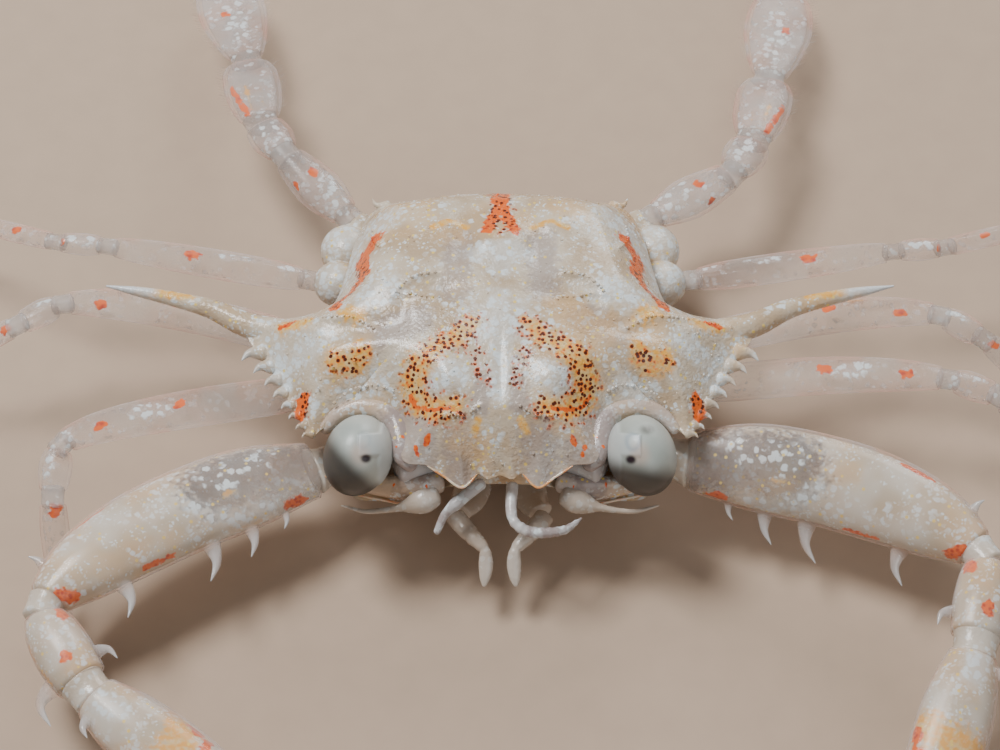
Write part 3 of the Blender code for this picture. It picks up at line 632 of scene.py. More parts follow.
def build_cuticle(name, clearest, streak):
    """A glassy skin: clearest is its opacity where it is seen straight on."""
    mat, tree, shader = new_material(name, roughness=0.10, IOR=1.58)
    coords = put(tree, "ShaderNodeTexCoord").outputs["Object"]
    tip = put(tree, "ShaderNodeAttribute", attribute_name="tip").outputs["Fac"]
    patches = ramp(tree, cloud(tree, coords, 900.0, 1.0).outputs["Fac"], 0.40, 0.60)
    tint = blend(tree, patches, CUTICLE_PINK, streak)
    tree.links.new(blend(tree, tip, tint, SPINE_WHITE), shader.inputs["Base Color"])
    facing = put(tree, "ShaderNodeLayerWeight", {"Blend": 0.5}).outputs["Facing"]
    steep = maths(tree, "POWER", facing, EDGE_POWER)
    rim = maths(tree, "MULTIPLY_ADD", steep, EDGE_OPACITY - clearest)
    rim.node.inputs[2].default_value = clearest
    opacity = maths(tree, "MAXIMUM", rim, maths(tree, "MULTIPLY", tip, TIP_OPACITY))
    tree.links.new(opacity, shader.inputs["Alpha"])
    return mat


LEG_CUTICLE = build_cuticle("leg_cuticle", 0.08, (0.84, 0.50, 0.42, 1))
CLAW_CUTICLE = build_cuticle("claw_cuticle", 0.10, (0.84, 0.56, 0.44, 1))
print("clear over:", LEG_CUTICLE.name, "and", CLAW_CUTICLE.name)

# %% [markdown]
# The carapace is a broad shield. Its outline is half a list of points, mirrored and smoothed: the
# small lobes of the front, the deep notch of each eye, the toothed sides and the straight rear.

# %% The outline of the carapace
BACK_MIDDLE = np.array((0, 1.2))
CARAPACE_EDGE = (
    (0.00, -4.92, 4.20),  # notch in the middle of the front
    (0.38, -5.05, 4.20),  # small middle lobe
    (0.70, -4.86, 4.20),
    (1.17, -5.28, 4.10),  # broad outer lobe
    (1.72, -4.95, 4.20),
    (2.25, -4.68, 4.40),  # inner lobe of the orbit, over the eyestalk
    (2.80, -4.68, 4.50),
    (3.04, -4.45, 4.52),
    (3.02, -3.90, 4.58),
    (2.98, -3.30, 4.66),
    (3.35, -2.80, 4.74),  # roof of the orbit
    (4.05, -2.56, 4.78),
    (4.75, -2.66, 4.70),
    (5.35, -2.98, 4.45),
    (5.85, -3.50, 4.20),  # outer corner of the orbit
    (6.25, -2.85, 4.15),  # toothed edge
    (6.65, -2.05, 4.10),
    (7.05, -1.25, 4.10),
    (7.55, -0.45, 4.15),
    (8.00, 0.25, 4.20),  # root of the side spine
    (7.70, 0.88, 4.20),
    (6.80, 1.02, 4.15),
    (5.95, 1.25, 4.05),  # hollow edge over the last legs
    (5.30, 1.80, 4.00),
    (4.98, 2.90, 4.00),
    (4.70, 4.20, 4.00),
    (4.35, 5.15, 4.00),
    (3.85, 5.66, 4.00),  # rear corner
    (3.10, 5.78, 4.05),
    (1.50, 6.02, 4.10),
    (0.00, 6.06, 4.10),
)
FINE_STEPS = 20


def edge_points(half, count):
    """Evenly spaced points round the closed edge whose x >= 0 half is given, from its front."""
    loop = [Vector(p) for p in half] + [Vector((-x, y, z)) for x, y, z in half[-2:0:-1]]
    fine = []
    for at in range(len(loop)):
        before, start, end, after = (loop[(at + k) % len(loop)] for k in (-1, 0, 1, 2))
        leave, arrive = (end - before) * 0.5, (after - start) * 0.5
        fine += [hermite(start, end, leave, arrive, k / FINE_STEPS) for k in range(FINE_STEPS)]
    reach = [0.0]
    for a, b in zip(fine, fine[1:] + fine[:1]):
        reach.append(reach[-1] + (b - a).length)
    points, at = [], 0
    for k in range(count):
        far = reach[-1] * k / count
        while reach[at + 1] < far:
            at += 1
        share = (far - reach[at]) / (reach[at + 1] - reach[at])
        points.append(fine[at].lerp(fine[(at + 1) % len(fine)], share))
    return points


print("edge of", len(CARAPACE_EDGE), "points a side")

# %% [markdown]
# A UV sphere can be laid over that outline: its equator goes to the edge, and its two halves
# become the back and the underside. The height then depends on how far a place lies inside the
# edge, which rounds the rim, and on the dome, its swellings, furrows and ridges.

# %% Laying a sphere over an outline
RING_CROWDING = 1.4


def spread_body(half, mesh, top, bottom):
    """A body whose equator is an edge and whose faces are top and bottom(plan, inset, rim height)."""
    count, upper, lower = mesh
    rings = upper + lower
    edge = np.array(edge_points(half, count))
    bm = bmesh.new()
    bmesh.ops.create_uvsphere(bm, u_segments=count, v_segments=rings, radius=1)
    ball_points = np.array([vert.co for vert in bm.verts])
    ring = np.round(np.arccos(np.clip(ball_points[:, 2], -1, 1)) / math.pi * rings)
    turn = np.arctan2(ball_points[:, 1], ball_points[:, 0]) / math.tau * count
    rim = edge[np.round(turn).astype(int) % count]
    out = np.where(ring <= upper, ring / upper, (rings - ring) / lower)
    share = (1 - (1 - out) ** RING_CROWDING)[:, None]
    plan = BACK_MIDDLE + (rim[:, :2] - BACK_MIDDLE) * share
    inset = distance_to(plan, list(edge[:, :2]) + [edge[0, :2]])
    heights = np.where(ring <= upper, top(plan, inset, rim[:, 2]), bottom(plan, inset, rim[:, 2]))
    for vert, (x, y), z in zip(bm.verts, plan, heights):
        vert.co = (x, y, z)
    return bm


def rounded(rim_z, level, inset, reach):
    """A height that leaves the rim and bends over to a level within a reach."""
    short = 1 - np.minimum(1, inset / reach)
    return rim_z + (level - rim_z) * (1 - short * short)


print("rings crowd to the rim by a power of", RING_CROWDING)

# %% [markdown]
# The back of a swimming crab is a low dome with a map of small lobes: over the stomach, the heart
# and the gills. Fine raised ridges cross it, set with grains. Lobes are soft bumps with a place,
# a reach and a height, and ridges are lines with a width and a height.

# %% The height of the back
DOME_MIDDLE = (0, 0.6)
DOME_REACH = (7.9, 6.7)
DOME_FOOT, CROWN, DOME_POWER = 4.35, 6.3, 0.7
SLOPE_REACH = 1.7
# x, y, reach in x, reach in y, height
RELIEF = (
    (1.75, -2.10, 0.85, 0.90, 0.20),  # domes over the stomach
    (0.00, -0.40, 0.80, 1.20, 0.08),
    (0.00, 2.60, 0.95, 0.90, 0.18),  # over the heart
    (2.40, 3.90, 1.10, 1.20, 0.20),  # over the gills
    (3.70, 1.20, 1.30, 1.00, 0.18),
    (5.70, 0.20, 1.10, 0.70, 0.12),
    (4.60, -1.50, 0.95, 0.70, 0.10),
    (4.10, -0.45, 0.90, 0.40, -0.16),  # neck furrow
    (1.90, 0.70, 0.90, 0.40, -0.12),
    (1.20, 2.50, 0.35, 1.00, -0.12),
    (0.42, 2.75, 0.30, 0.45, 0.07),  # the heart's two lobes
    (1.55, 3.30, 0.50, 0.28, 0.07),  # the arched swellings beside it
    (1.62, -2.60, 0.42, 0.42, 0.10),
    (0.00, -2.20, 0.14, 1.20, -0.06),
    (3.05, 0.25, 0.22, 0.80, -0.07),
)
# Raised ridges of the right and left: half width, height, points
RIDGES = (
    (0.11, 0.09, ((7.55, 0.45), (6.50, 0.28), (5.40, 0.02), (4.60, -0.10), (3.90, -0.55))),
    (0.10, 0.08, ((2.00, 1.34), (2.65, 1.22), (3.15, 0.80), (3.30, 0.55))),
    (0.09, 0.07, ((1.85, 0.42), (2.45, 0.46), (2.95, 0.62))),
    (0.09, 0.08, ((3.25, -2.45), (3.80, -2.20), (4.60, -2.28), (5.20, -2.62))),
    (0.08, 0.06, ((0.55, -3.35), (1.10, -3.62), (1.85, -3.60))),
    (0.09, 0.06, ((3.75, 2.60), (4.10, 3.40), (4.05, 4.20))),
)


def back_height(plan, inset, rim_z):
    away = (plan - DOME_MIDDLE) / DOME_REACH
    dome = np.maximum(0, 1 - (away**2).sum(axis=1)) ** DOME_POWER
    height = DOME_FOOT + (CROWN - DOME_FOOT) * dome
    folded = np.column_stack((np.abs(plan[:, 0]), plan[:, 1]))
    for cx, cy, rx, ry, swell in RELIEF:
        height += swell * np.exp(-(((folded[:, 0] - cx) / rx) ** 2) - ((folded[:, 1] - cy) / ry) ** 2)
    for wide, raised, line in RIDGES:
        height += raised * np.exp(-((distance_to(folded, line) / wide) ** 2))
    return rounded(rim_z, height, inset, SLOPE_REACH)


def step(value, start, width):
    """0 before start, 1 past its width, smooth between."""
    t = np.clip((value - start) / width, 0, 1)
    return t * t * (3 - 2 * t)


CARAPACE_FLOOR, LOBE_FLOOR, UNDER_REACH = 3.5, 4.42, 0.8


def by_orbit(plan):
    """1 where the eyestalk runs between carapace and thorax, 0 away from it."""
    return step(-plan[:, 1], 2.4, 0.5) * step(np.abs(plan[:, 0]), 1.35, 0.4)


def carapace_under(plan, inset, rim_z):
    level = CARAPACE_FLOOR + (LOBE_FLOOR - CARAPACE_FLOOR) * by_orbit(plan)
    return rounded(rim_z, level, inset, UNDER_REACH)


print(len(RELIEF), "lobes and furrows,", len(RIDGES), "ridges a side")

# %% [markdown]
# Eight small hooked teeth stand along each side, growing longer to the rear, and then the long side
# spine that names the animal. They are spines like those of the claw arm, so the same helper makes
# them.

# %% Teeth and side spines
CARAPACE_MESH = (520, 70, 16)
TEETH = 8
TOOTHED = (14, 20)  # points of the edge between which they stand
TOOTH_Y = (-3.35, -0.25)
TOOTH_LENGTH = (0.28, 0.62)
TOOTH_WIDTH = (0.13, 0.23)
TOOTH_LEAN = Vector((0, -0.75, 0.06))
SIDE_SPINE = ((6.6, 0.45, 4.2), (7.97, 0.72, 4.2), (9.2, 1.3, 4.3), (10.9, 1.72, 4.45), (12.6, 2.0, 4.6))
SIDE_SPINE_SHAPE = (
    (0, 0.40, 0.40),
    (0.25, 0.42, 0.36),
    (0.5, 0.30, 0.27),
    (0.8, 0.18, 0.18),
    (1, 0.03, 0.03),
)
REAR_SPINE_ROOT = Vector((3.82, 5.60, 4.02))
REAR_SPINE_LEAN = Vector((-0.15, 0.75, 0.05))


def side_teeth(out):
    edge = [Vector(p) for p in CARAPACE_EDGE[TOOTHED[0] : TOOTHED[1]]]
    made = []
    for k in range(TEETH):
        share = k / (TEETH - 1)
        y = TOOTH_Y[0] + (TOOTH_Y[1] - TOOTH_Y[0]) * share**1.15
        low = max(p for p in range(len(edge) - 1) if edge[p].y <= y + 1e-6)
        start, end = edge[low], edge[low + 1]
        root = start.lerp(end, (y - start.y) / (end.y - start.y))
        length = TOOTH_LENGTH[0] + (TOOTH_LENGTH[1] - TOOTH_LENGTH[0]) * share**2
        width = TOOTH_WIDTH[0] + (TOOTH_WIDTH[1] - TOOTH_WIDTH[0]) * share
        root = Vector((out * root.x, y, root.z))
        made.append(curved_spine(root, Vector((out, 0, 0)), TOOTH_LEAN, length, width))
    return made


def side_spine(out):
    points = mirrored_to(out, SIDE_SPINE)
    line, length = line_through(points), line_length(points)
    return drawn_out(line, SIDE_SPINE_SHAPE, (28, 70), length, caps=(0.2, 0.02))


def rear_spine(out):
    root = Vector((out * REAR_SPINE_ROOT.x, *REAR_SPINE_ROOT.yz))
    lean = Vector((out * REAR_SPINE_LEAN.x, *REAR_SPINE_LEAN.yz))
    return curved_spine(root, Vector((out, 0, 0)), lean, 0.5, 0.16)


print(TEETH, "teeth a side")

# %% [markdown]
# Grains sit on the ridges and are strewn over the gill regions. Each is a small low dome, an
# ico sphere of 80 faces sunk half way into the back, so the light catches it as a bright point.

# %% Grains of the back
GRAIN_PITCH = 0.17
GRAIN_SIZE = (0.035, 0.07)
STREWN = 420
carapace_rim = np.array(edge_points(CARAPACE_EDGE, 240))


def back_point(x, y):
    plan = np.array([[x, y]])
    inset = distance_to(plan, list(carapace_rim[:, :2]))
    nearest = np.argmin(np.linalg.norm(carapace_rim[:, :2] - plan, axis=1))
    return Vector((x, y, float(back_height(plan, inset, carapace_rim[nearest, 2])[0]))), float(inset[0])


def grain(centre, size):
    bm = bmesh.new()
    bmesh.ops.create_icosphere(bm, subdivisions=2, radius=size)
    bm.transform(Matrix.Translation(centre) @ Matrix.Diagonal((1, 1, 0.75, 1)))
    return bm


def inside_rim(x, y):
    """Whether a place on the plan lies inside the carapace's edge."""
    a, b = carapace_rim[:, :2], np.roll(carapace_rim[:, :2], -1, axis=0)
    crosses = (a[:, 1] > y) != (b[:, 1] > y)
    at = a[:, 0] + (y - a[:, 1]) / np.where(crosses, b[:, 1] - a[:, 1], 1) * (b[:, 0] - a[:, 0])
    return int((crosses & (x < at)).sum()) % 2 == 1


def back_grains():
    draw = random.Random(7)
    made = []
    for _, _, points in RIDGES:
        flat = [Vector((*p, 0)) for p in points]
        line, count = line_through(flat), int(line_length(flat) / GRAIN_PITCH)
        for out in SIDES.values():
            for k in range(count):
                place, _ = line((k + draw.uniform(0.2, 0.8)) / count)
                centre, _ = back_point(out * place.x, place.y)
                made.append(grain(centre, draw.uniform(*GRAIN_SIZE)))
    while len(made) < STREWN:
        x, y = draw.uniform(-7.6, 7.6), draw.uniform(-4.9, 5.8)
        if inside_rim(x, y) and draw.random() < 0.25 + abs(x) / 8:
            centre, _ = back_point(x, y)
            made.append(grain(centre, draw.uniform(0.02, 0.045)))
    return made


grains = back_grains()
print(len(grains), "grains")

# %% [markdown]
# The colour marks of the back are what one remembers of this crab: two dotted amber crescents round
# pale domes, a forked red mark on the rear margin, a crooked red line on each side, and a white
# band down the middle. Each is a stroke on the plan, seen from above.

# %% The marks of the back
BACK_MARKS = {
    "orange": [
        (0.28, [(0.02, 5.95), (0.03, 4.30)]),
        (0.20, [(0.0, 4.3), (-0.26, 3.50), (-0.40, 2.98)]),
        (0.20, [(0.0, 4.3), (0.30, 3.50), (0.45, 2.95)]),
    ]
    + both_sides([
        (0.22, [(3.95, 3.35), (4.42, 2.75), (4.30, 1.80)]),
        (0.16, [(4.33, 1.75), (4.72, 1.20), (5.20, 0.70)]),
        (0.20, [(5.12, 0.80), (5.20, 0.50)]),
        (0.20, [(6.18, -2.25), (6.24, -2.75)]),
        (0.06, [(2.80, -2.65), (2.60, -2.98), (2.12, -3.30), (1.62, -3.42)]),
        (0.08, [(2.20, -4.02), (2.30, -4.20)]),
        (0.07, [(2.55, -4.45), (2.62, -4.25)]),
        (0.07, [(3.15, -3.66)]),
        (0.12, [(6.55, 0.30), (6.90, 0.22)]),
    ]),
    "amber": both_sides([
        (0.30, [(0.85, -0.62), (1.45, -1.15), (2.10, -1.55)]),
        (0.44, [(2.10, -1.55), (2.55, -1.90), (2.66, -2.30)]),
        (0.30, [(2.72, -2.60), (2.35, -3.10), (1.85, -3.36), (1.45, -3.34)]),
        (0.30, [(4.75, 0.10), (4.50, 0.0)]),
        (0.34, [(5.10, -1.45), (4.55, -1.60), (4.35, -1.30)]),
        (0.28, [(6.20, 0.15), (6.80, 0.25)]),
        (0.16, [(9.9, 1.58), (11.5, 1.82)]),
        (0.10, [(1.05, 3.22), (1.60, 3.46), (2.15, 3.20)]),
        (0.12, [(0.66, -3.75), (0.80, -3.95)]),
    ]),
    "dots": [(0.34, [(0.02, 5.8), (0.04, 3.2)])]
    + both_sides([
        (0.42, [(0.95, -0.72), (1.50, -1.20), (2.40, -1.75), (2.66, -2.30)]),
        (0.38, [(2.66, -2.30), (2.50, -2.95), (1.95, -3.35), (1.40, -3.40)]),
        (0.16, [(4.50, 2.60), (4.33, 1.75), (4.72, 1.20), (5.25, 0.60)]),
        (0.26, [(5.15, -1.45), (4.60, -1.60), (4.30, -1.30)]),
        (0.22, [(6.18, -2.25), (6.24, -2.75)]),
        (0.22, [(0.45, -2.60), (0.75, -1.70)]),
    ]),
    "white": [
        (0.28, [(-0.80, 2.05), (-0.30, 2.25), (0.35, 2.25), (0.85, 2.05)]),
        (0.40, [(0.0, 2.20), (0.0, 1.45)]),
        (0.34, [(0.0, 0.30), (0.0, -2.90)]),
    ]
    + both_sides([
        (0.52, [(1.55, -2.45), (1.75, -2.55)]),
        (0.55, [(0.55, -0.75), (0.75, -0.40)]),
        (0.34, [(6.70, -1.60), (7.10, -0.60)]),
        (0.55, [(3.75, 4.30), (3.95, 3.90)]),
        (0.60, [(4.90, 2.60), (4.75, 3.60)]),
        (0.50, [(4.10, 0.55), (3.45, 0.75)]),
        (0.40, [(4.60, -2.25), (3.90, -2.15)]),
        (0.40, [(5.60, -0.75), (6.30, -0.95)]),
    ]),
    "bare": both_sides([
        (0.45, [(1.25, 2.70), (1.40, 0.70)]),
        (0.50, [(2.60, -0.35), (3.80, -0.75)]),
        (0.75, [(2.65, -4.40), (2.85, -3.50)]),
        (0.60, [(1.15, -4.95), (1.25, -4.30)]),
        (0.30, [(0.60, -3.30), (0.50, -2.60)]),
    ]),
    "tip": both_sides([
        (0.34, [(6.75, -3.45), (7.25, -2.30), (8.25, -0.60)]),  # the small teeth
        (0.22, [(11.2, 1.78), (12.6, 2.0)]),  # the point of the side spine
    ]),
}
grown = []
for out in SIDES.values():
    grown += [*side_teeth(out), side_spine(out), rear_spine(out)]
carapace = finish_piece(
    "carapace_skin",
    spread_body(CARAPACE_EDGE, CARAPACE_MESH, back_height, carapace_under),
    [SHELL],
    replaces=["carapace"],
    grown=grown,
    loose=grains,
    strokes=BACK_MARKS,
)
print("carapace of", len(carapace.data.polygons), "faces")

# %% [markdown]
# The thin front edge catches the light as a fine orange line, and so does the lower rim of each
# orbit. A round bead laid along the edge gives that line a real shape. Soft clear skin lines the
# orbit and closes round the eye. It is a thick curved tube under the carapace's edge.

# %% Bright rims
RIM_BEAD = 0.035


def build_rim():
    mat, tree, shader = new_material(
        "bright_rim", roughness=0.25, subsurface_weight=0.3, subsurface_scale=0.0002, coat_weight=0.4
    )
    coords = put(tree, "ShaderNodeTexCoord").outputs["Object"]
    streaks = ramp(tree, cloud(tree, coords, 1600.0, 3.0).outputs["Fac"], 0.42, 0.62)
    colour = blend(tree, streaks, (0.90, 0.74, 0.60, 1), (0.86, 0.38, 0.14, 1))
    tree.links.new(colour, shader.inputs["Base Color"])
    return mat


RIM = build_rim()
BEAD_SHAPE = ((0, 0.4), (0.15, 1), (0.85, 1), (1, 0.4))


def bead(points):
    """A thin round bead along a line, finer at both ends."""
    shape = [(place, RIM_BEAD * full, RIM_BEAD * full) for place, full in BEAD_SHAPE]
    return drawn_out(line_through(points), shape, (10, 60), line_length(points), caps=(0.02, 0.02))


LOWER_RIM = (
    (1.98, -4.62, 2.62),
    (2.25, -4.88, 2.60),
    (2.66, -4.99, 2.60),
    (3.70, -4.80, 2.60),
    (4.67, -4.55, 2.62),
    (5.50, -4.10, 2.90),
)
LINING_LINE = (
    (2.62, -4.60, 4.06),
    (2.98, -4.25, 4.24),
    (3.08, -3.70, 4.34),
    (3.26, -3.06, 4.42),
    (3.72, -2.66, 4.50),
    (4.40, -2.56, 4.50),
    (5.08, -2.80, 4.35),
    (5.55, -3.25, 4.08),
)
LINING_SHAPE = ((0, 0.20, 0.20), (0.2, 0.37, 0.35), (0.6, 0.36, 0.33), (1, 0.18, 0.18))
# The cheek below the eye, from the root of the second feeler to the outer corner
CHEEK_LINE = (
    (1.75, -4.42, 3.15),
    (2.45, -4.66, 3.12),
    (3.40, -4.58, 3.00),
    (4.50, -4.30, 2.92),
    (5.35, -3.90, 3.10),
)
CHEEK_SHAPE = ((0, 0.30, 0.40), (0.25, 0.34, 0.52), (0.5, 0.30, 0.42), (1, 0.16, 0.22))
LINING_MARKS = {
    "bare": [(0.50, [(2.8, -4.6), (3.05, -3.9), (3.2, -3.2)])],
    "orange": [
        (0.07, [(2.72, -4.42), (2.74, -4.28)]),
        (0.05, [(3.0, -3.8)]),
        (0.05, [(3.2, -4.1)]),
        (0.05, [(2.3, -4.85)]),
        (0.06, [(3.3, -4.75)]),
    ],
}


for side, out in SIDES.items():
    lobe = mirrored_to(out, CARAPACE_EDGE[2:6])
    lower = bead(mirrored_to(out, LOWER_RIM))
    finish_piece(f"front_rim_{side}", bead(lobe), [RIM], loose=[lower])
    line = line_through(mirrored_to(out, LINING_LINE))
    tube = drawn_out(line, LINING_SHAPE, (36, 90), line_length(LINING_LINE))
    marks = {
        kind: [(width, mirrored_to(out, points)) for width, points in lines]
        for kind, lines in LINING_MARKS.items()
    }
    cheek_line = line_through(mirrored_to(out, CHEEK_LINE))
    cheek = drawn_out(cheek_line, CHEEK_SHAPE, (36, 60), line_length(CHEEK_LINE))
    finish_piece(f"orbit_lining_{side}", tube, [ORBIT], loose=[cheek], strokes=marks)
print("rims of", 2 * RIM_BEAD, "mm")

# %% [markdown]
# Under the shield lie the chest, which carries all the limbs, and the tail, folded under it. The
# chest is another sphere spread over an outline. Shallow furrows part the plates of the sternum,
# and the swollen leg bases that show beside the carapace are fused on.

# %% Chest and folded tail
THORAX_TOP, ORBIT_FLOOR = 3.62, 2.65
STERNUM, STERNUM_REACH = 1.75, 1.5
THORAX_EDGE = (
    (0.00, -4.40, 2.90),
    (1.60, -4.45, 2.80),
    (2.60, -4.75, 2.60),
    (4.20, -4.80, 2.55),  # floor of the orbit
    (4.62, -4.58, 2.60),
    (3.92, -4.10, 2.60),
    (3.40, -3.45, 2.50),
    (4.00, -2.00, 2.50),  # row of leg sockets
    (4.30, 0.00, 2.50),
    (4.20, 2.00, 2.50),
    (3.90, 3.80, 2.50),
    (3.20, 4.90, 2.50),
    (0.00, 5.20, 2.60),
)
THORAX_MESH = (240, 24, 24)
SOCKET_SHAPE = (0.62, 0.45)
SOCKET_HEIGHT = 2.35
SOCKET_MESH = (36, 24)
COXAE = {
    "leg4": ((5.25, 3.45, 2.70), (0.85, 0.80, 0.72)),
    "swim": ((5.05, 4.72, 2.75), (0.86, 0.95, 0.74)),
}
PLATE_FURROWS = (-3.2, -1.9, -0.5, 0.9, 2.3, 3.6)


def thorax_top(plan, inset, rim_z):
    level = THORAX_TOP + (ORBIT_FLOOR - THORAX_TOP) * by_orbit(plan)
    return rounded(rim_z, level, inset, UNDER_REACH)


def thorax_bottom(plan, inset, rim_z):
    height = rounded(rim_z, STERNUM, inset, STERNUM_REACH)
    for y in PLATE_FURROWS:
        bent = plan[:, 1] - y + 0.08 * np.abs(plan[:, 0])
        height = height + 0.10 * np.exp(-((bent / 0.09) ** 2))
    return height


ABDOMEN_LINE = (
    (0, 5.72, 3.2),
    (0, 5.80, 2.2),
    (0, 5.1, 1.25),
    (0, 3.0, 1.17),
    (0, 0.8, 1.17),
    (0, -0.9, 1.2),
)
ABDOMEN_SHAPE = (
    (0, 2.4, 0.25),
    (0.2, 2.5, 0.25),
    (0.35, 2.2, 0.26),
    (0.6, 1.35, 0.26),
    (0.85, 0.7, 0.26),
    (1, 0.4, 0.25),
)
TAIL_SEAMS = (0.10, 0.22, 0.36, 0.52, 0.70, 0.86)


def tail_relief(place, turn):
    return -0.07 * sum(math.exp(-(((place - seam) / 0.010) ** 2)) for seam in TAIL_SEAMS)


tail = drawn_out(
    line_through(ABDOMEN_LINE),
    ABDOMEN_SHAPE,
    (64, 120),
    line_length(ABDOMEN_LINE),
    Vector((0, 0.4, -1)),
    relief=tail_relief,
)
finish_piece("abdomen_skin", tail, [SHELL], replaces=["abdomen"])
print(len(TAIL_SEAMS) + 1, "segments of the tail")

# %% [markdown]
# The eye is the largest thing on the head: an egg of tiny facets, pale, with painted shade over its
# lower half and the small dark point of its false pupil. The pale skin of the stalk climbs over it from
# the middle of the head as a comma. Directions from the eye's centre decide where each tint lies.

# %% The eyes
EYE_RADII = (1.04, 1.30, 1.22)
EYE_TURN = 18
# Upwards and towards the viewer, for someone who looks down at the face from 56 degrees
VIEW_UP = Vector((0, 0.829, 0.559))
VIEW_NEAR = Vector((0, -0.559, 0.829))
# Where each tint lies, to the right and upwards: dark is painted shade on the lower half, by its direction
# and start
EYE_LOOKS = {
    "right": {
        "dark": (-0.66, -0.75, -0.08),
        "pupil": (0.30, -0.03),
        "smudge": (0.45, 0.52),
        "notch": (0.22, 0.40),
        "notch share": 0.4,
        "smudge share": 0,
    },
    "left": {
        "dark": (-0.12, -0.99, 0.02),
        "pupil": (-0.40, -0.06),
        "smudge": (0.10, 0.66),
        "notch": (-0.32, 0.36),
        "notch share": 1,
        "smudge share": 1,
    },
}


def eye_middle(side):
    return Vector((SIDES[side] * EYE_CENTRE.x, *EYE_CENTRE.yz))


def eye_directions(points, side):
    """How far each point lies to the right, upwards and towards the viewer, from the eye's middle."""
    away = (points - np.array(eye_middle(side))) / np.array(EYE_RADII)
    away /= np.linalg.norm(away, axis=1)[:, None]
    return away[:, 0], away @ np.array(VIEW_UP), away @ np.array(VIEW_NEAR)


def eye_cap(points, side):
    """The comma of pale skin that climbs over the eye from the head's middle."""
    right, above, near = eye_directions(points, side)
    inner = -SIDES[side] * right
    comma = step(inner, 0.05, 0.07) * step(above, -0.02, 0.10) * (1 - step(above, 0.52, 0.06))
    rest = step(inner, 0.62, 0.10)
    return np.maximum(comma, rest) * step(near, -0.35, 0.2)


def eye_masks(side):
    """A function that gives the mask of each tint of the eye."""
    look = EYE_LOOKS[side]

    def masks(points):
        right, above, near = eye_directions(points, side)
        facing = step(near, 0, 0.2)

        def away_from(middle, wide, high):
            return np.hypot((right - middle[0]) / wide, (above - middle[1]) / high)

        # The dark mask paints shade over the lower half of the eye.
        low = look["dark"][0] * right + look["dark"][1] * above - look["dark"][2]
        pupil = away_from(look["pupil"], 0.17, 0.115)
        notch = away_from(look["notch"], 0.20, 0.20)
        smudge = away_from(look["smudge"], 0.26, 0.14)
        peach = away_from((-0.12 * SIDES[side], 0.08), 0.38, 0.38)
        return {
            "dark": step(low, 0.0, 0.5),
            "notch": np.exp(-(((notch - 0.85) / 0.30) ** 2)) * facing * look["notch share"],
            "cap": eye_cap(points, side),
            "pupil": (1 - step(pupil, 0.5, 0.8)) * facing,
            "smudge": (1 - step(smudge, 0.2, 1.0)) * facing * look["smudge share"],
            "peach": (1 - step(peach, 0.3, 0.8)) * facing,
        }

    return masks


EYE_TINTS = (
    ("cap", 0.7, (0.58, 0.63, 0.63, 1)),
    ("peach", 0.5, (0.58, 0.42, 0.33, 1)),
    ("notch", 0.45, (0.22, 0.30, 0.38, 1)),
    # painted shade over the eye's lower half
    ("dark", 0.94, (0.045, 0.036, 0.030, 1)),
    ("smudge", 0.8, (0.10, 0.10, 0.08, 1)),
    ("pupil", 1.0, (0.02, 0.010, 0.015, 1)),
)


def build_eye_material():
    mat, tree, shader = new_material("eye_facets", roughness=0.42, coat_weight=0.25, coat_roughness=0.22)
    coords = put(tree, "ShaderNodeTexCoord").outputs["Object"]
    drift = ramp(tree, cloud(tree, coords, 700.0, 3.0).outputs["Fac"], 0.3, 0.7)
    colour = blend(tree, drift, (0.38, 0.42, 0.39, 1), (0.50, 0.53, 0.49, 1))
    for kind, share, tint in EYE_TINTS:
        mask = put(tree, "ShaderNodeAttribute", attribute_name=kind).outputs["Fac"]
        colour = blend(tree, maths(tree, "MULTIPLY", mask, share), colour, tint)
    facets = cells(tree, coords, 26000.0, 0.3)
    bump = put(tree, "ShaderNodeBump", {"Height": facets, "Distance": 0.000006, "Strength": 0.5})
    tree.links.new(colour, shader.inputs["Base Color"])
    tree.links.new(bump.outputs["Normal"], shader.inputs["Normal"])
    return mat


EYE = build_eye_material()
STALK_LINE = ((1.95, -3.72, 3.45), (2.50, -3.86, 3.52), (3.30, -4.10, 3.72))
STALK_SHAPE = ((0, 0.50, 0.38), (1, 0.78, 0.60))
CAP_RISE = 0.035
for side, out in SIDES.items():
    middle = eye_middle(side)
    shape = ball(middle, EYE_RADII, (128, 96), out * EYE_TURN)
    raised = 1 + CAP_RISE * eye_cap(np.array([vert.co for vert in shape.verts]), side)
    for vert, size in zip(shape.verts, raised):
        vert.co = middle + (vert.co - middle) * size
    finish_piece(f"eye_skin_{side}", shape, [EYE], [f"eye_{side}"], masks=eye_masks(side))
    line = line_through(mirrored_to(out, STALK_LINE))
    stalk = drawn_out(line, STALK_SHAPE, (40, 30), line_length(STALK_LINE))
    finish_piece(f"eyestalk_skin_{side}", stalk, [STALK], replaces=[f"eyestalk_{side}"])
print("eyes", 2 * EYE_RADII[0], "mm across")

# %% [markdown]
# Below the front hang the feelers and the mouth's outer legs. The short first feelers are ringed
# white and dark, and one is held out and the other folded. The palps end in soft flat tips.

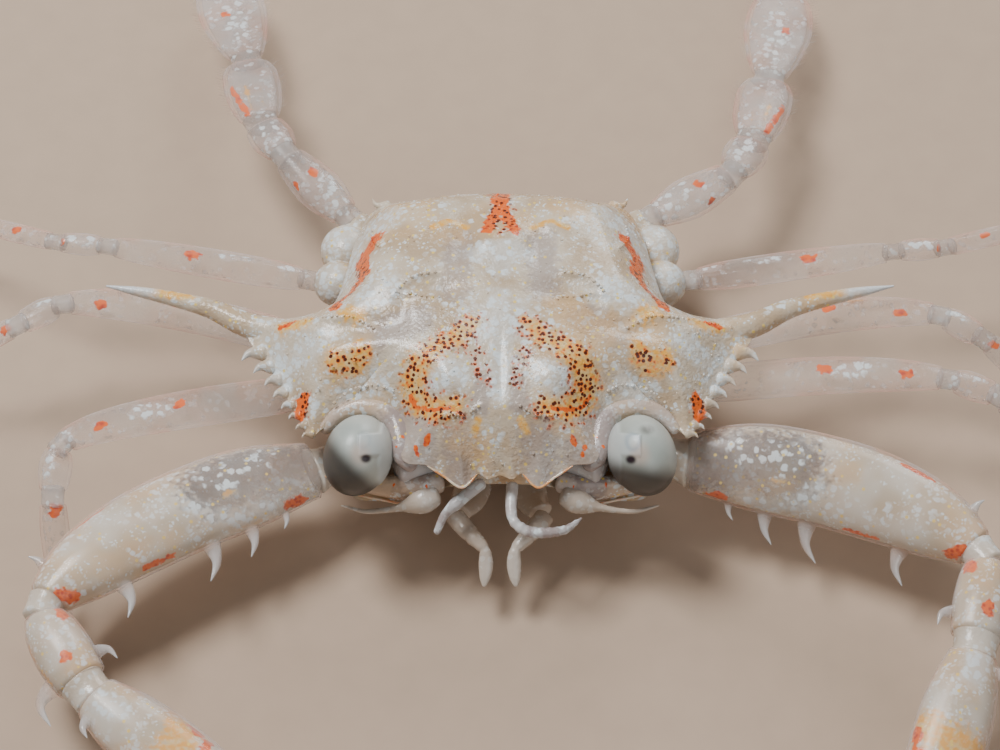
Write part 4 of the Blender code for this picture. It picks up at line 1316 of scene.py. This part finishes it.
# %% Feelers and mouthparts
ANTENNULE_LINES = {
    "right": ((0.50, -4.55, 3.30), (1.42, -5.38, 3.22), (1.72, -5.62, 3.02), (1.99, -6.15, 2.75)),
    "left": (
        (0.38, -4.62, 3.36),
        (0.43, -5.95, 3.2),
        (0.85, -6.24, 3.08),
        (2.0, -6.14, 3.0),
        (2.54, -5.71, 3.0),
    ),
}
ANTENNULE_SHAPES = {
    "right": ((0, 0.20, 0.20), (0.3, 0.19, 0.19), (0.52, 0.20, 0.20), (0.66, 0.15, 0.15), (1, 0.10, 0.10)),
    "left": ((0, 0.20, 0.20), (0.36, 0.17, 0.17), (0.48, 0.19, 0.18), (0.8, 0.15, 0.15), (1, 0.05, 0.05)),
}
ANTENNULE_RINGS = {"right": 0.0, "left": 0.022}
WHITE_RINGS = {
    "right": (0.02, 0.12, 0.22, 0.32, 0.42, 0.9),
    "left": (0.05, 0.17, 0.30, 0.43, 0.58, 0.80, 0.92),
}
ANTENNA_LINE = (
    (1.90, -4.84, 3.12),
    (2.65, -5.18, 3.00),
    (3.50, -5.38, 2.95),
    (4.20, -5.42, 2.92),
    (4.95, -5.22, 2.95),
)
ANTENNA_SHAPE = (
    (0, 0.34, 0.30),
    (0.18, 0.44, 0.40),
    (0.32, 0.26, 0.26),
    (0.42, 0.13, 0.13),
    (0.8, 0.07, 0.07),
    (1, 0.03, 0.03),
)
MAXILLIPED_LINE = (
    (0.72, -1.35, 1.20),
    (0.78, -3.0, 1.20),
    (1.00, -4.0, 1.30),
    (1.30, -4.66, 1.64),
)
MAXILLIPED_SHAPE = ((0, 0.40, 0.25), (0.2, 0.56, 0.25), (0.7, 0.58, 0.25), (1, 0.38, 0.25))
PALP_LINE = (
    (1.48, -4.92, 1.95),
    (0.92, -5.70, 2.0),
    (0.48, -6.22, 1.9),
    (0.44, -6.6, 1.65),
    (0.50, -7.19, 1.3),
)
PALP_SHAPE = (
    (0, 0.32, 0.25),
    (0.3, 0.30, 0.24),
    (0.50, 0.22, 0.20),
    (0.60, 0.19, 0.17),
    (0.74, 0.23, 0.15),
    (0.90, 0.17, 0.11),
    (1, 0.05, 0.04),
)


def rings_of(count, depth):
    """A relief of shallow rings round a feeler, past its thick first third."""
    return lambda place, turn: -depth * (place > 0.3) * (0.5 - 0.5 * math.cos(place * count * math.tau))


def seams_at(seams, depth):
    """A relief with a narrow furrow at each joint of a small limb."""
    return lambda place, turn: -depth * sum(math.exp(-(((place - seam) / 0.02) ** 2)) for seam in seams)


def along_line(line, *places):
    """The points of a line at some places, for a stroke of colour."""
    return [tuple(line(place)[0]) for place in places]


def feeler_marks(line, side):
    """White rings round a first feeler, a bare end, and the right one's white root."""
    white = [(0.19, along_line(line, place, place + 0.02)) for place in WHITE_RINGS[side]]
    if side == "right":
        white.append((0.42, along_line(line, 0, 0.25, 0.5)))
    return {"white": white, "bare": [(0.5, along_line(line, 0.6, 1))]}


SMALL_LIMBS = (
    ("antenna", ANTENNA_LINE, ANTENNA_SHAPE, rings_of(22, 0.008)),
    ("maxilliped", MAXILLIPED_LINE, MAXILLIPED_SHAPE, seams_at((0.55,), 0.08)),
    ("palp", PALP_LINE, PALP_SHAPE, seams_at((0.36, 0.58), 0.03)),
)
for side, out in SIDES.items():
    points = mirrored_to(out, ANTENNULE_LINES[side])
    line = line_through(points)
    rings, shape = rings_of(16, ANTENNULE_RINGS[side]), ANTENNULE_SHAPES[side]
    feeler = drawn_out(line, shape, (32, 90), line_length(points), relief=rings, caps=(CAP, 0.08))
    node, marks = f"antennule_{side}", feeler_marks(line, side)
    finish_piece(f"antennule_skin_{side}", feeler, [STALK], [node], strokes=marks)
    for name, points, shape, relief in SMALL_LIMBS:
        line = line_through(mirrored_to(out, points))
        body = drawn_out(line, shape, (32, 80), line_length(points), relief=relief, caps=(CAP, 0.05))
        finish_piece(f"{name}_skin_{side}", body, [MOUTH], [f"{name}_{side}"])
print(len(SMALL_LIMBS) + 1, "small limbs a side")

# %% [markdown]
# Each leg is a chain of articles. Its joints follow from a root, the articles' lengths, and for
# each article a heading and a climb. The line of an article bends a little at both ends, so that
# the chain runs on smoothly, and stops short of its joints to leave room for the soft skin there.

# %% A limb's joints and lines
ROOTS = {
    "claw": (4.25, -2.90, 2.05),
    "leg2": (5.70, -0.55, 2.50),
    "leg3": (5.70, 1.05, 2.50),
    "leg4": (6.25, 3.58, 2.72),
    "swim": (5.00, 6.02, 2.86),
}
ARTICLES = {
    "claw": (("ischium", 1.5), ("merus", 9.95), ("carpus", 3.15), ("palm", 5.6), ("finger", 4.9)),
    "leg2": (("merus", 8.6), ("carpus", 1.7), ("propodus", 3.0), ("dactyl", 3.2)),
    "leg3": (("merus", 8.5), ("carpus", 1.6), ("propodus", 3.5), ("dactyl", 4.0)),
    "leg4": (("merus", 6.65), ("carpus", 1.7), ("propodus", 4.0), ("dactyl", 4.6)),
    "swim": (("merus", 3.15), ("carpus", 1.7), ("propodus", 3.3), ("paddle", 5.6)),
}
POSE = {
    ("claw", "right"): ((-25, 16), (-33, 3), (-119, -2), (-143, -7), (-155, None)),
    ("claw", "left"): ((-14, 16), (-22.6, 3), (-98, -2), (-108.5, -8), (-104, None)),
    ("leg2", "right"): ((-20, 8), (-83, -16), (-95, -41), (-96, None)),
    ("leg2", "left"): ((-3, 8), (-17, -9), (-40, -30), (-54, None)),
    ("leg3", "right"): ((5.3, 9), (-25, -8), (-15, -27), (-11, None)),
    ("leg3", "left"): ((2.3, 9), (-29, -8), (-33, -30), (-27, None)),
    ("leg4", "right"): ((5.3, 9), (6, 0), (26, -16), (16, None)),
    ("leg4", "left"): ((3.4, 9), (6, 0), (26, -16), (16, None)),
    ("swim", "right"): ((46, 9), (59, -3), (78, -10), (76, -13)),
    ("swim", "left"): ((29, 8), (63, -4), (77, -11), (80, -13)),
}
MERUS_BOW = {
    ("claw", "right"): 0.46,
    ("claw", "left"): 0.52,
    ("leg2", "left"): 0.20,
    ("leg3", "right"): 0.25,
    ("leg3", "left"): 0.30,
}
ARM_UP = {"right": (0, -0.08, 1), "left": (0, -0.5, 0.87)}
SHAPES = {
    "claw_ischium": ((0, 0.62, 0.50), (1, 0.75, 0.58)),
    "claw_merus": (
        (0, 0.92, 0.62),
        (0.22, 1.36, 0.80),
        (0.45, 1.42, 0.84),
        (0.65, 1.38, 0.84),
        (0.85, 1.13, 0.78),
        (1, 0.64, 0.58),
    ),
    "claw_carpus": ((0, 0.62, 0.58), (0.25, 0.84, 0.74), (0.6, 0.92, 0.80), (1, 0.80, 0.68)),
    "claw_palm": ((0, 0.74, 0.62), (0.25, 1.05, 0.78), (0.6, 1.16, 0.78), (1, 1.02, 0.70)),
    "merus": (
        (0, 0.46, 0.28),
        (0.15, 0.60, 0.30),
        (0.5, 0.62, 0.30),
        (0.85, 0.52, 0.28),
        (1, 0.38, 0.27),
    ),
    "carpus": ((0, 0.36, 0.27), (0.4, 0.45, 0.29), (1, 0.38, 0.27)),
    "propodus": ((0, 0.37, 0.26), (0.4, 0.38, 0.26), (1, 0.30, 0.25)),
    "dactyl": ((0, 0.28, 0.25), (0.4, 0.30, 0.25), (0.8, 0.20, 0.18), (1, 0.04, 0.05)),
    "swim_merus": ((0, 0.48, 0.40), (0.45, 0.76, 0.46), (1, 0.54, 0.40)),
    "swim_carpus": ((0, 0.52, 0.38), (0.5, 0.70, 0.40), (1, 0.64, 0.34)),
    "swim_propodus": ((0, 0.66, 0.31), (0.35, 0.88, 0.30), (0.8, 0.90, 0.28), (1, 0.68, 0.26)),
    "swim_paddle": (
        (0, 0.58, 0.25),
        (0.2, 0.90, 0.24),
        (0.5, 1.14, 0.20),
        (0.8, 0.92, 0.16),
        (1, 0.22, 0.08),
    ),
}
LEG_BREADTH = {"leg2": 1.08, "leg3": 1.03, "leg4": 0.85}
GAP, ARM_GAP = 0.3, 0.50
TIP_HEIGHT = 0.10
JOINT_BEND = 0.45


class Limb:
    """A limb's joints, and the line that its articles follow from joint to joint."""

    def __init__(self, kind, side):
        self.kind, self.side = kind, side
        self.out = SIDES[side]
        self.up = Vector(ARM_UP[side]).normalized() if kind == "claw" else UP
        x, y, z = ROOTS[kind]
        self.joints = [Vector((self.out * x, y, z))]
        for (_, length), (heading, climb) in zip(ARTICLES[kind], POSE[kind, side]):
            start = self.joints[-1]
            if climb is None:
                climb = -math.degrees(math.asin((start.z - TIP_HEIGHT) / length))
            level = math.cos(math.radians(climb)) * length
            turn = math.radians(heading)
            rise = math.sin(math.radians(climb)) * length
            ahead = Vector((self.out * math.cos(turn) * level, math.sin(turn) * level, rise))
            self.joints.append(start + ahead)

    def heads(self, at):
        """The direction of the line at a joint, midway between the articles that meet there."""
        steps = [(b - a).normalized() for a, b in zip(self.joints, self.joints[1:])]
        if at == 0:
            return steps[0]
        if at == len(steps):
            return steps[-1]
        return (steps[at - 1] + steps[at]).normalized()

    def name(self, at):
        return f"{self.kind}_{ARTICLES[self.kind][at][0]}_{self.side}"

    def article(self, at):
        """The line of one article, short of its joints by half the gap, and its length."""
        start, end = self.joints[at], self.joints[at + 1]
        length = (end - start).length
        last = at == len(self.joints) - 2
        leave, arrive = (self.heads(k) * length * JOINT_BEND for k in (at, at + 1))
        bow = Vector((0, 0, 0))
        if ARTICLES[self.kind][at][0] == "merus":
            bow.y = MERUS_BOW.get((self.kind, self.side), 0)

        def curve(t):
            return hermite(start, end, leave, arrive, t) + bow * math.sin(math.pi * t) ** 1.5

        gap = ARM_GAP if self.kind == "claw" else GAP
        return evenly(curve, 1, (gap / 2, 0 if last else gap / 2)), length

    def shape(self, at):
        """The article's half widths and half depths along it."""
        article = ARTICLES[self.kind][at][0]
        knots = SHAPES.get(f"{self.kind}_{article}") or SHAPES[article]
        breadth = LEG_BREADTH.get(self.kind, 1)
        return tuple((place, wide * breadth, deep) for place, wide, deep in knots)

    def inner(self, at, share):
        """The same shape, drawn in for the flesh under the cuticle."""
        return tuple((place, wide * share, deep * share) for place, wide, deep in self.shape(at))

    def at_surface(self, at, place, turn):
        """The point, outward and forward directions there; turn 0 is the front edge, 90 the top."""
        centre, ahead = self.article(at)[0](place)
        across, flat = frame_at(ahead, self.up)
        wide, deep = along(self.shape(at), place)
        front = across if self.side == "right" else -across
        angle = math.radians(turn)
        out = front * math.cos(angle) * wide + flat * math.sin(angle) * deep
        return centre + out, out.normalized(), ahead


def stub(points, shape):
    return drawn_out(line_through(points), shape, SOCKET_MESH, (points[-1] - points[0]).length)


def sockets(limb):
    """The stubs of the chest that carry a limb, and the swollen base that some have."""
    head = limb.heads(0)
    end = limb.joints[0] - head * GAP / 2
    _, wide, deep = limb.shape(0)[0]
    taper = ((0, *SOCKET_SHAPE), (1, wide, deep))
    root = Vector((0.62 * limb.joints[0].x, 0.80 * limb.joints[0].y, SOCKET_HEIGHT))
    if limb.kind not in COXAE:
        return [stub((root, end - head * 0.4, end), taper)]
    (x, y, z), radii = COXAE[limb.kind]
    middle = Vector((limb.out * x, y, z))
    root = Vector((0.5 * middle.x, 0.9 * middle.y, SOCKET_HEIGHT))
    inner = stub((root, middle), ((0, *SOCKET_SHAPE), (1, *SOCKET_SHAPE)))
    return [inner, ball(middle, radii, (64, 40)), stub((middle, end - head * 0.3, end), taper)]


all_limbs = [Limb(kind, side) for kind in ARTICLES for side in SIDES]
chest = spread_body(THORAX_EDGE, THORAX_MESH, thorax_top, thorax_bottom)
coxa_marks = both_sides([(0.75, [(5.55, 3.2, 3.1)]), (0.8, [(5.4, 4.8, 3.2)])])
finish_piece(
    "thorax_skin",
    chest,
    [SHELL],
    replaces=["thorax"],
    grown=[piece for limb in all_limbs for piece in sockets(limb)],
    strokes={"white": coxa_marks},
)
print(len(all_limbs), "limbs on the chest")

# %% [markdown]
# The spots of the limbs are given along an article: the place from 0 at its root to 1 at its end,
# the turn round it, and a size. Both sides share one list, as the animal's own pattern does.

# %% The spots of the limbs
# article, kind of mark, half width, then (place, turn) for each point of the stroke
LIMB_MARKS = {
    "claw": (
        ("merus", "bare", 1.05, ((0.05, 90), (0.33, 95))),
        ("merus", "white", 0.40, ((0.15, 125), (0.20, 100), (0.27, 112), (0.31, 85), (0.36, 120))),
        ("merus", "white", 0.30, ((0.20, 38), (0.30, 30), (0.38, 50), (0.44, 75))),
        ("merus", "orange", 0.26, ((0.09, 10), (0.12, 20))),
        ("merus", "orange", 0.05, ((0.20, -15), (0.38, -15), (0.55, -15))),
        ("merus", "orange", 0.15, ((0.58, 15), (0.68, 15))),
        ("merus", "orange", 0.17, ((0.68, 160), (0.77, 160))),
        ("merus", "amber", 0.13, ((0.30, 75), (0.33, 75))),
        ("merus", "orange", 0.22, ((0.95, 30), (0.98, 60))),
        ("carpus", "orange", 0.24, ((0.05, 30), (0.18, 45))),
        ("carpus", "orange", 0.20, ((0.70, 95), (0.74, 95))),
        ("carpus", "amber", 0.14, ((0.20, 175), (0.80, 172))),
        ("palm", "white", 0.40, ((0.08, 100), (0.20, 90))),
        ("palm", "amber", 0.50, ((0.58, 40), (0.62, 90), (0.64, 140))),
        ("palm", "orange", 0.16, ((0.74, 30), (0.77, 90), (0.74, 150))),
        ("palm", "orange", 0.20, ((0.60, 20), (0.66, 30))),
        ("finger", "orange", 0.25, ((0.35, 90), (0.45, 90))),
    ),
    "leg2": (
        ("merus", "orange", 0.05, ((0.10, -8), (0.50, -8), (0.92, -8))),
        ("merus", "white", 0.34, ((0.62, 90), (0.70, 100))),
        ("merus", "orange", 0.17, ((0.53, 100), (0.56, 95))),
        ("merus", "orange", 0.17, ((0.85, 80), (0.87, 80))),
        ("merus", "white", 0.22, ((0.97, 120), (1.0, 90))),
        ("carpus", "white", 0.20, ((0.1, 120), (0.6, 120))),
        ("propodus", "orange", 0.22, ((0.05, 70), (0.12, 80))),
        ("dactyl", "orange", 0.14, ((0.45, 90), (0.52, 90))),
    ),
    "leg3": (
        ("merus", "orange", 0.16, ((0.58, 105), (0.60, 105))),
        ("merus", "orange", 0.16, ((0.86, 70), (0.88, 70))),
        ("merus", "amber", 0.18, ((0.64, 165), (0.72, 165))),
        ("carpus", "white", 0.18, ((0.1, 120), (0.5, 120))),
        ("propodus", "orange", 0.18, ((0.02, 80), (0.06, 80))),
        ("dactyl", "orange", 0.12, ((0.45, 90), (0.50, 90))),
    ),
    "leg4": (
        ("merus", "orange", 0.19, ((0.57, 95), (0.61, 90))),
        ("merus", "white", 0.24, ((0.30, 140), (0.42, 120))),
        ("merus", "white", 0.20, ((0.04, 120), (0.12, 120))),
        ("carpus", "white", 0.24, ((0.2, 100), (0.7, 90))),
        ("carpus", "orange", 0.15, ((0.95, 60), (1.0, 70))),
        ("propodus", "orange", 0.15, ((0.34, 90), (0.38, 90))),
    ),
    "swim": (
        ("merus", "orange", 0.18, ((0.60, 100), (0.64, 100))),
        ("merus", "orange", 0.14, ((0.60, 20), (0.66, 25))),
        ("merus", "white", 0.50, ((0.1, 90), (0.4, 120))),
        ("carpus", "white", 0.40, ((0.3, 90), (0.7, 90))),
        ("propodus", "orange", 0.13, ((0.02, 60), (0.55, 35))),
        ("propodus", "amber", 0.07, ((0.10, 80), (0.55, 70))),
        ("propodus", "amber", 0.07, ((0.15, 110), (0.60, 112))),
        ("paddle", "orange", 0.15, ((0.44, 75), (0.47, 75))),
        ("paddle", "white", 0.45, ((0.2, 90), (0.6, 90))),
    ),
}


def strokes_of(limb, at):
    """The article's strokes of colour, on its own surface in millimetres."""
    article = ARTICLES[limb.kind][at][0]
    found = {}
    for name, kind, width, points in LIMB_MARKS[limb.kind]:
        if name == article:
            line = [tuple(limb.at_surface(at, place, turn)[0]) for place, turn in points]
            found.setdefault(kind, []).append((width, line))
    return found


print(sum(len(marks) for marks in LIMB_MARKS.values()), "strokes a side")

# %% [markdown]
# The claw arm is the strongest limb: a flat curved upper arm with glassy spines along its front
# edge, a short wrist, and a hand with one fixed and one moving finger. Ridges run along the hand,
# and the fingers bite with small blunt teeth.

# %% The claw arms
# article, place, turn, length, width, lean
CLAW_SPINES = (
    ("merus", 0.15, 0, 0.55, 0.16, 0.4),
    ("merus", 0.28, 0, 1.00, 0.24, 0.4),
    ("merus", 0.43, 0, 1.30, 0.28, 0.5),
    ("merus", 0.77, 0, 1.15, 0.26, 0.6),
    ("merus", 0.92, 165, 0.50, 0.20, 0.3),
    ("carpus", 0.74, 10, 0.75, 0.22, 1.6),
    ("carpus", 0.80, 180, 1.35, 0.27, 1.9),
    ("palm", 0.10, 150, 0.70, 0.22, 0.9),
    ("palm", 0.93, 60, 0.60, 0.20, 1.2),
)
SPINE_SLIMMER = 0.02
TIP_MARK = 0.22
CLAW_FLESH = 0.95
CLAW_MESHES = {"ischium": (56, 24), "merus": (96, 130), "carpus": (88, 60), "palm": (96, 90)}
FINGER_SPREAD, FINGER_BOW = 0.58, 0.30
FINGER_FLESH = 0.9
FINGER_SHAPE = ((0, 0.46, 0.48), (0.4, 0.40, 0.42), (0.8, 0.25, 0.28), (1, 0.05, 0.06))
BITE_TEETH = 11


def arm_relief(count, depth):
    """Low ridges that run along an article and fade at its ends."""
    return lambda place, turn: depth * math.cos(count * turn) * math.sin(math.pi * place) ** 0.5


def on_floor(bm):
    """Presses what lies under the floor up to it, which leaves a small flat."""
    for vert in bm.verts:
        vert.co.z = max(vert.co.z, 0)
    return bm


def finger_line(limb, spread):
    """The line of one finger of the claw, on the side of its palm that spread gives."""
    end, ahead = limb.article(3)[0](1)
    across, _ = frame_at(ahead, limb.up)
    inner = across if limb.side == "right" else -across
    tip = limb.joints[-1]
    middle = end + (tip - end) * 0.45 + inner * (spread + math.copysign(FINGER_BOW, spread))
    root = end + inner * spread * 0.95 + ahead * (GAP if spread > 0 else -0.9)
    return line_through((root, middle, tip + inner * spread * 0.45)), inner


def groove(place, turn):
    return 0.02 * math.cos(6 * turn) * math.sin(math.pi * min(1, place * 1.1)) if place < 0.9 else 0


def finger(line, limb, share=1.0):
    """A finger of the claw, or its flesh where share is below 1."""
    shape = [(place, wide * share, deep * share) for place, wide, deep in FINGER_SHAPE]
    length = ARTICLES["claw"][-1][1]
    relief = groove if share == 1 else None
    return on_floor(drawn_out(line, shape, (56, 90), length, limb.up, (CAP, 0.03), relief))


def bite_teeth(line, inner, toward):
    """The row of small teeth along a finger's biting edge, large and small by turns."""
    made = []
    for k in range(BITE_TEETH):
        place = 0.26 + 0.58 * k / (BITE_TEETH - 1)
        centre, ahead = line(place)
        wide = along(FINGER_SHAPE, place)[0]
        size = (0.13 if k % 2 else 0.19) * (1.2 - place)
        root = centre + inner * toward * wide * 0.92
        made.append(curved_spine(root, inner * toward, ahead * 0.25, size, size))
    return made


def claw_spines(limb, at):
    """The spines of one article, and the strokes that keep them milky."""
    made, tips = [], []
    for article, place, turn, length, width, lean in CLAW_SPINES:
        if article == ARTICLES["claw"][at][0]:
            root, out, ahead = limb.at_surface(at, place, turn)
            made.append(curved_spine(root, out, ahead * lean, length, width - SPINE_SLIMMER))
            end = root + (out + ahead * lean).normalized() * length
            tips.append((TIP_MARK, [tuple(root + out * TIP_MARK), tuple(end)]))
    return made, tips


def add_claw_arm(limb):
    reliefs = {"palm": arm_relief(7, 0.035), "carpus": arm_relief(5, 0.03), "merus": arm_relief(2, 0.03)}
    layers = [CLAW_CUTICLE, CLAW]
    for at, (article, length) in enumerate(ARTICLES["claw"][:4]):
        sides, rings = CLAW_MESHES[article]
        line = limb.article(at)[0]
        body = drawn_out(line, limb.shape(at), (sides, rings), length, limb.up, relief=reliefs.get(article))
        inner = limb.inner(at, CLAW_FLESH)
        flesh = drawn_out(line, inner, (sides // 2, rings // 2), length, limb.up, (0.2, 0.2))
        extra, tips = claw_spines(limb, at)
        strokes = strokes_of(limb, at)
        if tips:
            strokes["tip"] = tips
        if article == "palm":
            low, inward = finger_line(limb, -FINGER_SPREAD)
            extra += [finger(low, limb), *bite_teeth(low, inward, 1)]
            flesh = absorb(flesh, [finger(low, limb, FINGER_FLESH)])
        name = limb.name(at)
        finish_piece(f"{name}_skin", body, layers, [name], extra, flesh=flesh, strokes=strokes)
    line, inward = finger_line(limb, FINGER_SPREAD)
    name = limb.name(4)
    teeth = bite_teeth(line, inward, -1)
    spot = {"orange": [(0.25, [tuple(line(0.4)[0] + limb.up * 0.4)])]}
    flesh = finger(line, limb, FINGER_FLESH)
    finish_piece(f"{name}_skin", finger(line, limb), layers, [name], teeth, flesh=flesh, strokes=spot)


for limb in all_limbs:
    if limb.kind == "claw":
        add_claw_arm(limb)
print(len(CLAW_SPINES), "spines on each claw arm")

# %% [markdown]
# The walking legs are thin blades of clear skin, a little keeled along both edges, and the last pair
# ends in oval paddles. Each article is the same drawn-out sphere with its own widths. A paddle has
# a rib along its middle and a fringe of fine hairs, which are thin cones rooted along its edge.

# %% Walking and swimming legs
LEG_FLESH = 0.86
LEG_MESHES = {
    "merus": (40, 90),
    "carpus": (40, 40),
    "propodus": (40, 60),
    "dactyl": (40, 70),
    "paddle": (64, 90),
}
FRINGE = {"propodus": 34, "paddle": 74}
HAIR = (0.42, 0.012)


def keel(place, turn):
    """A thin raised line along the front and rear edge."""
    return 0.05 * math.cos(turn) ** 16 * math.sin(math.pi * place) ** 0.5


def dactyl_ribs(place, turn):
    return 0.018 * math.cos(8 * turn) * math.sin(math.pi * min(1, place * 1.15)) if place < 0.87 else 0


def paddle_rib(place, turn):
    rib = 0.05 * math.sin(turn) ** 24 * math.sin(math.pi * place) ** 0.5
    return rib + keel(place, turn)


def hair(root, ahead, length, width):
    bm = bmesh.new()
    bmesh.ops.create_cone(bm, cap_ends=True, segments=5, radius1=width, radius2=width * 0.2, depth=length)
    turn = ahead.to_track_quat("Z", "Y").to_matrix().to_4x4()
    bm.transform(Matrix.Translation(root + ahead * length * 0.42) @ turn)
    return bm


def fringe(limb, at, count):
    draw = random.Random(at * 10 + (limb.side == "left"))
    made = []
    for turn in (0, 180):
        for k in range(count):
            place = 0.10 + 0.88 * (k + draw.random() * 0.5) / count
            root, out, ahead = limb.at_surface(at, place, turn)
            lean = out + ahead * draw.uniform(0.5, 0.9) + limb.up * draw.uniform(-0.15, 0.15)
            length = HAIR[0] * draw.uniform(0.7, 1.1)
            made.append(hair(root - out * 0.04, lean.normalized(), length, HAIR[1]))
    return made


def add_leg(limb):
    layers = [LEG_CUTICLE, SWIM if limb.kind == "swim" else LEG]
    reliefs = {"dactyl": dactyl_ribs, "paddle": paddle_rib}
    for at, (article, length) in enumerate(ARTICLES[limb.kind]):
        last = at == len(ARTICLES[limb.kind]) - 1
        line, mesh = limb.article(at)[0], LEG_MESHES[article]
        caps = (CAP, 0.03 if last else CAP)
        relief = reliefs.get(article, keel)
        body = on_floor(drawn_out(line, limb.shape(at), mesh, length, limb.up, caps, relief))
        inner, coarse = limb.inner(at, LEG_FLESH), (mesh[0] // 2, mesh[1])
        flesh = on_floor(drawn_out(line, inner, coarse, length, limb.up, (0.2, 0.2)))
        hairs = []
        if limb.kind == "swim" and article in FRINGE:
            hairs = fringe(limb, at, FRINGE[article])
        name, marks = limb.name(at), strokes_of(limb, at)
        finish_piece(f"{name}_skin", body, layers, [name], (), hairs, flesh, marks)


for limb in all_limbs:
    if limb.kind != "claw":
        add_leg(limb)
print("hairs of", HAIR[0], "mm on the swimming legs")

# %% [markdown]
# Between the hard articles the skin stays soft. A short plug of it bridges each joint. It nearly
# fills the ends of the armour on both sides, so the limb runs on smoothly with a shallow groove.

# %% Soft skin at the joints
PLUG_FIT = 0.94
PLUG_WAIST = 0.96
PLUG_DEPTH = 0.24
KNUCKLE_SHAPE = ((0, 0.40, 0.42), (1, 0.40, 0.42))
CLAW_SOFT = skin(
    "claw_joint_skin", (0.55, 0.45, 0.35), (0.66, 0.60, 0.52), 0.7, 0, grain=0.3, marks=()
)
LEG_SOFT = skin(
    "leg_joint_skin", (0.55, 0.46, 0.41), (0.64, 0.60, 0.57), 0.8, 0, milk=0.4, grain=0, marks=()
)


def joint_plug(limb, at):
    """The soft skin before article at; the first one joins the chest."""
    gap = ARM_GAP if limb.kind == "claw" else GAP
    head, middle = limb.heads(at), limb.joints[at]
    reach = head * (gap / 2 + PLUG_DEPTH)
    after = limb.shape(at)[0][1:]
    before = limb.shape(at - 1)[-1][1:] if at else after
    waist = [PLUG_WAIST * min(pair) for pair in zip(before, after)]
    sections = ((0, before), (0.5, waist), (1, after))
    shape = [(place, PLUG_FIT * wide, PLUG_FIT * deep) for place, (wide, deep) in sections]
    line = line_through((middle - reach, middle, middle + reach))
    return drawn_out(line, shape, (40, 24), 2 * reach.length, limb.up, (0.14, 0.14))


for limb in all_limbs:
    last = 4 if limb.kind == "claw" else len(ARTICLES[limb.kind])
    plugs = [joint_plug(limb, at) for at in range(last)]
    if limb.kind == "claw":
        line, _ = finger_line(limb, FINGER_SPREAD)
        start, ahead = line(0)
        knuckle = line_through((start - ahead * 0.5, start, start + ahead * 0.25))
        plugs.append(drawn_out(knuckle, KNUCKLE_SHAPE, (32, 20), 0.75, limb.up, (0.08, 0.08)))
    soft = CLAW_SOFT if limb.kind == "claw" else LEG_SOFT
    finish_piece(f"joint_skin_{limb.kind}_{limb.side}", plugs[0], [soft], loose=plugs[1:])
print("joints of", len(all_limbs), "limbs")

# %% [markdown]
# A plain pale floor and soft studio light let the clear skin show. One broad lamp stands high over
# the left rear, so the face falls into soft shade. A weak one fills from the front, and one behind
# draws the bright edges of the legs.

# %% Floor and light
FLOOR_SIZE = 1.2
FLOOR_COLOUR = (0.47, 0.35, 0.26, 1)
FIBRE_LIGHTER = 1.12
bm = bmesh.new()
bmesh.ops.create_grid(bm, x_segments=1, y_segments=1, size=FLOOR_SIZE / 2)
floor = mesh_object("floor", bm)
paper, tree, shader = new_material("floor_paper", roughness=0.8)
coords = put(tree, "ShaderNodeTexCoord").outputs["Object"]
fibre = cloud(tree, coords, 900.0, 2.0).outputs["Fac"]
tint = blend(tree, fibre, FLOOR_COLOUR, tuple(c * FIBRE_LIGHTER for c in FLOOR_COLOUR))
tree.links.new(tint, shader.inputs["Base Color"])
floor.data.materials.append(paper)
# name, place in millimetres, size in millimetres, watts
LAMPS = (
    ("key", (-80, 60, 190), 70, 0.50),
    ("fill", (90, -150, 120), 150, 0.10),
    ("back", (70, 170, 110), 80, 0.15),
)
SKY, SKY_STRENGTH = (1.0, 0.96, 0.91, 1), 0.15
for name, place, size, power in LAMPS:
    lamp = bpy.data.lights.new(name, "AREA")
    lamp.size = size * MM
    lamp.energy = power
    holder = bpy.data.objects.new(name, lamp)
    holder.location = Vector(place) * MM
    holder.rotation_euler = (-holder.location).to_track_quat("-Z", "Y").to_euler()
    bpy.context.scene.collection.objects.link(holder)
world = bpy.data.worlds.new("studio")
world.use_nodes = True
background = world.node_tree.nodes["Background"]
background.inputs["Color"].default_value = SKY
background.inputs["Strength"].default_value = SKY_STRENGTH
bpy.context.scene.world = world
print(len(LAMPS), "lamps")

# %% [markdown]
# The photograph looks down at the crab's face from 56 degrees, and its 1000 pixels take in 31.6 mm
# at the crab's middle. A long lens from 100 mm away gives the same view.

# %% Camera
TARGET = Vector((0, -1.03, 4.0))
CAMERA_AWAY = 100
CAMERA_CLIMB = math.radians(56)
VIEW_WIDTH = 31.6
SENSOR = 36
lens = bpy.data.cameras.new("photo_view")
lens.sensor_width = SENSOR
lens.lens = SENSOR * CAMERA_AWAY / VIEW_WIDTH
lens.clip_start = 0.004
camera = bpy.data.objects.new("photo_view", lens)
behind = Vector((0, -math.cos(CAMERA_CLIMB), math.sin(CAMERA_CLIMB)))
camera.location = SHIFT + (TARGET + behind * CAMERA_AWAY) * MM
camera.rotation_euler = (math.pi / 2 - CAMERA_CLIMB, 0, 0)
bpy.context.scene.collection.objects.link(camera)
bpy.context.scene.camera = camera
print("lens of", round(lens.lens, 1), "mm")
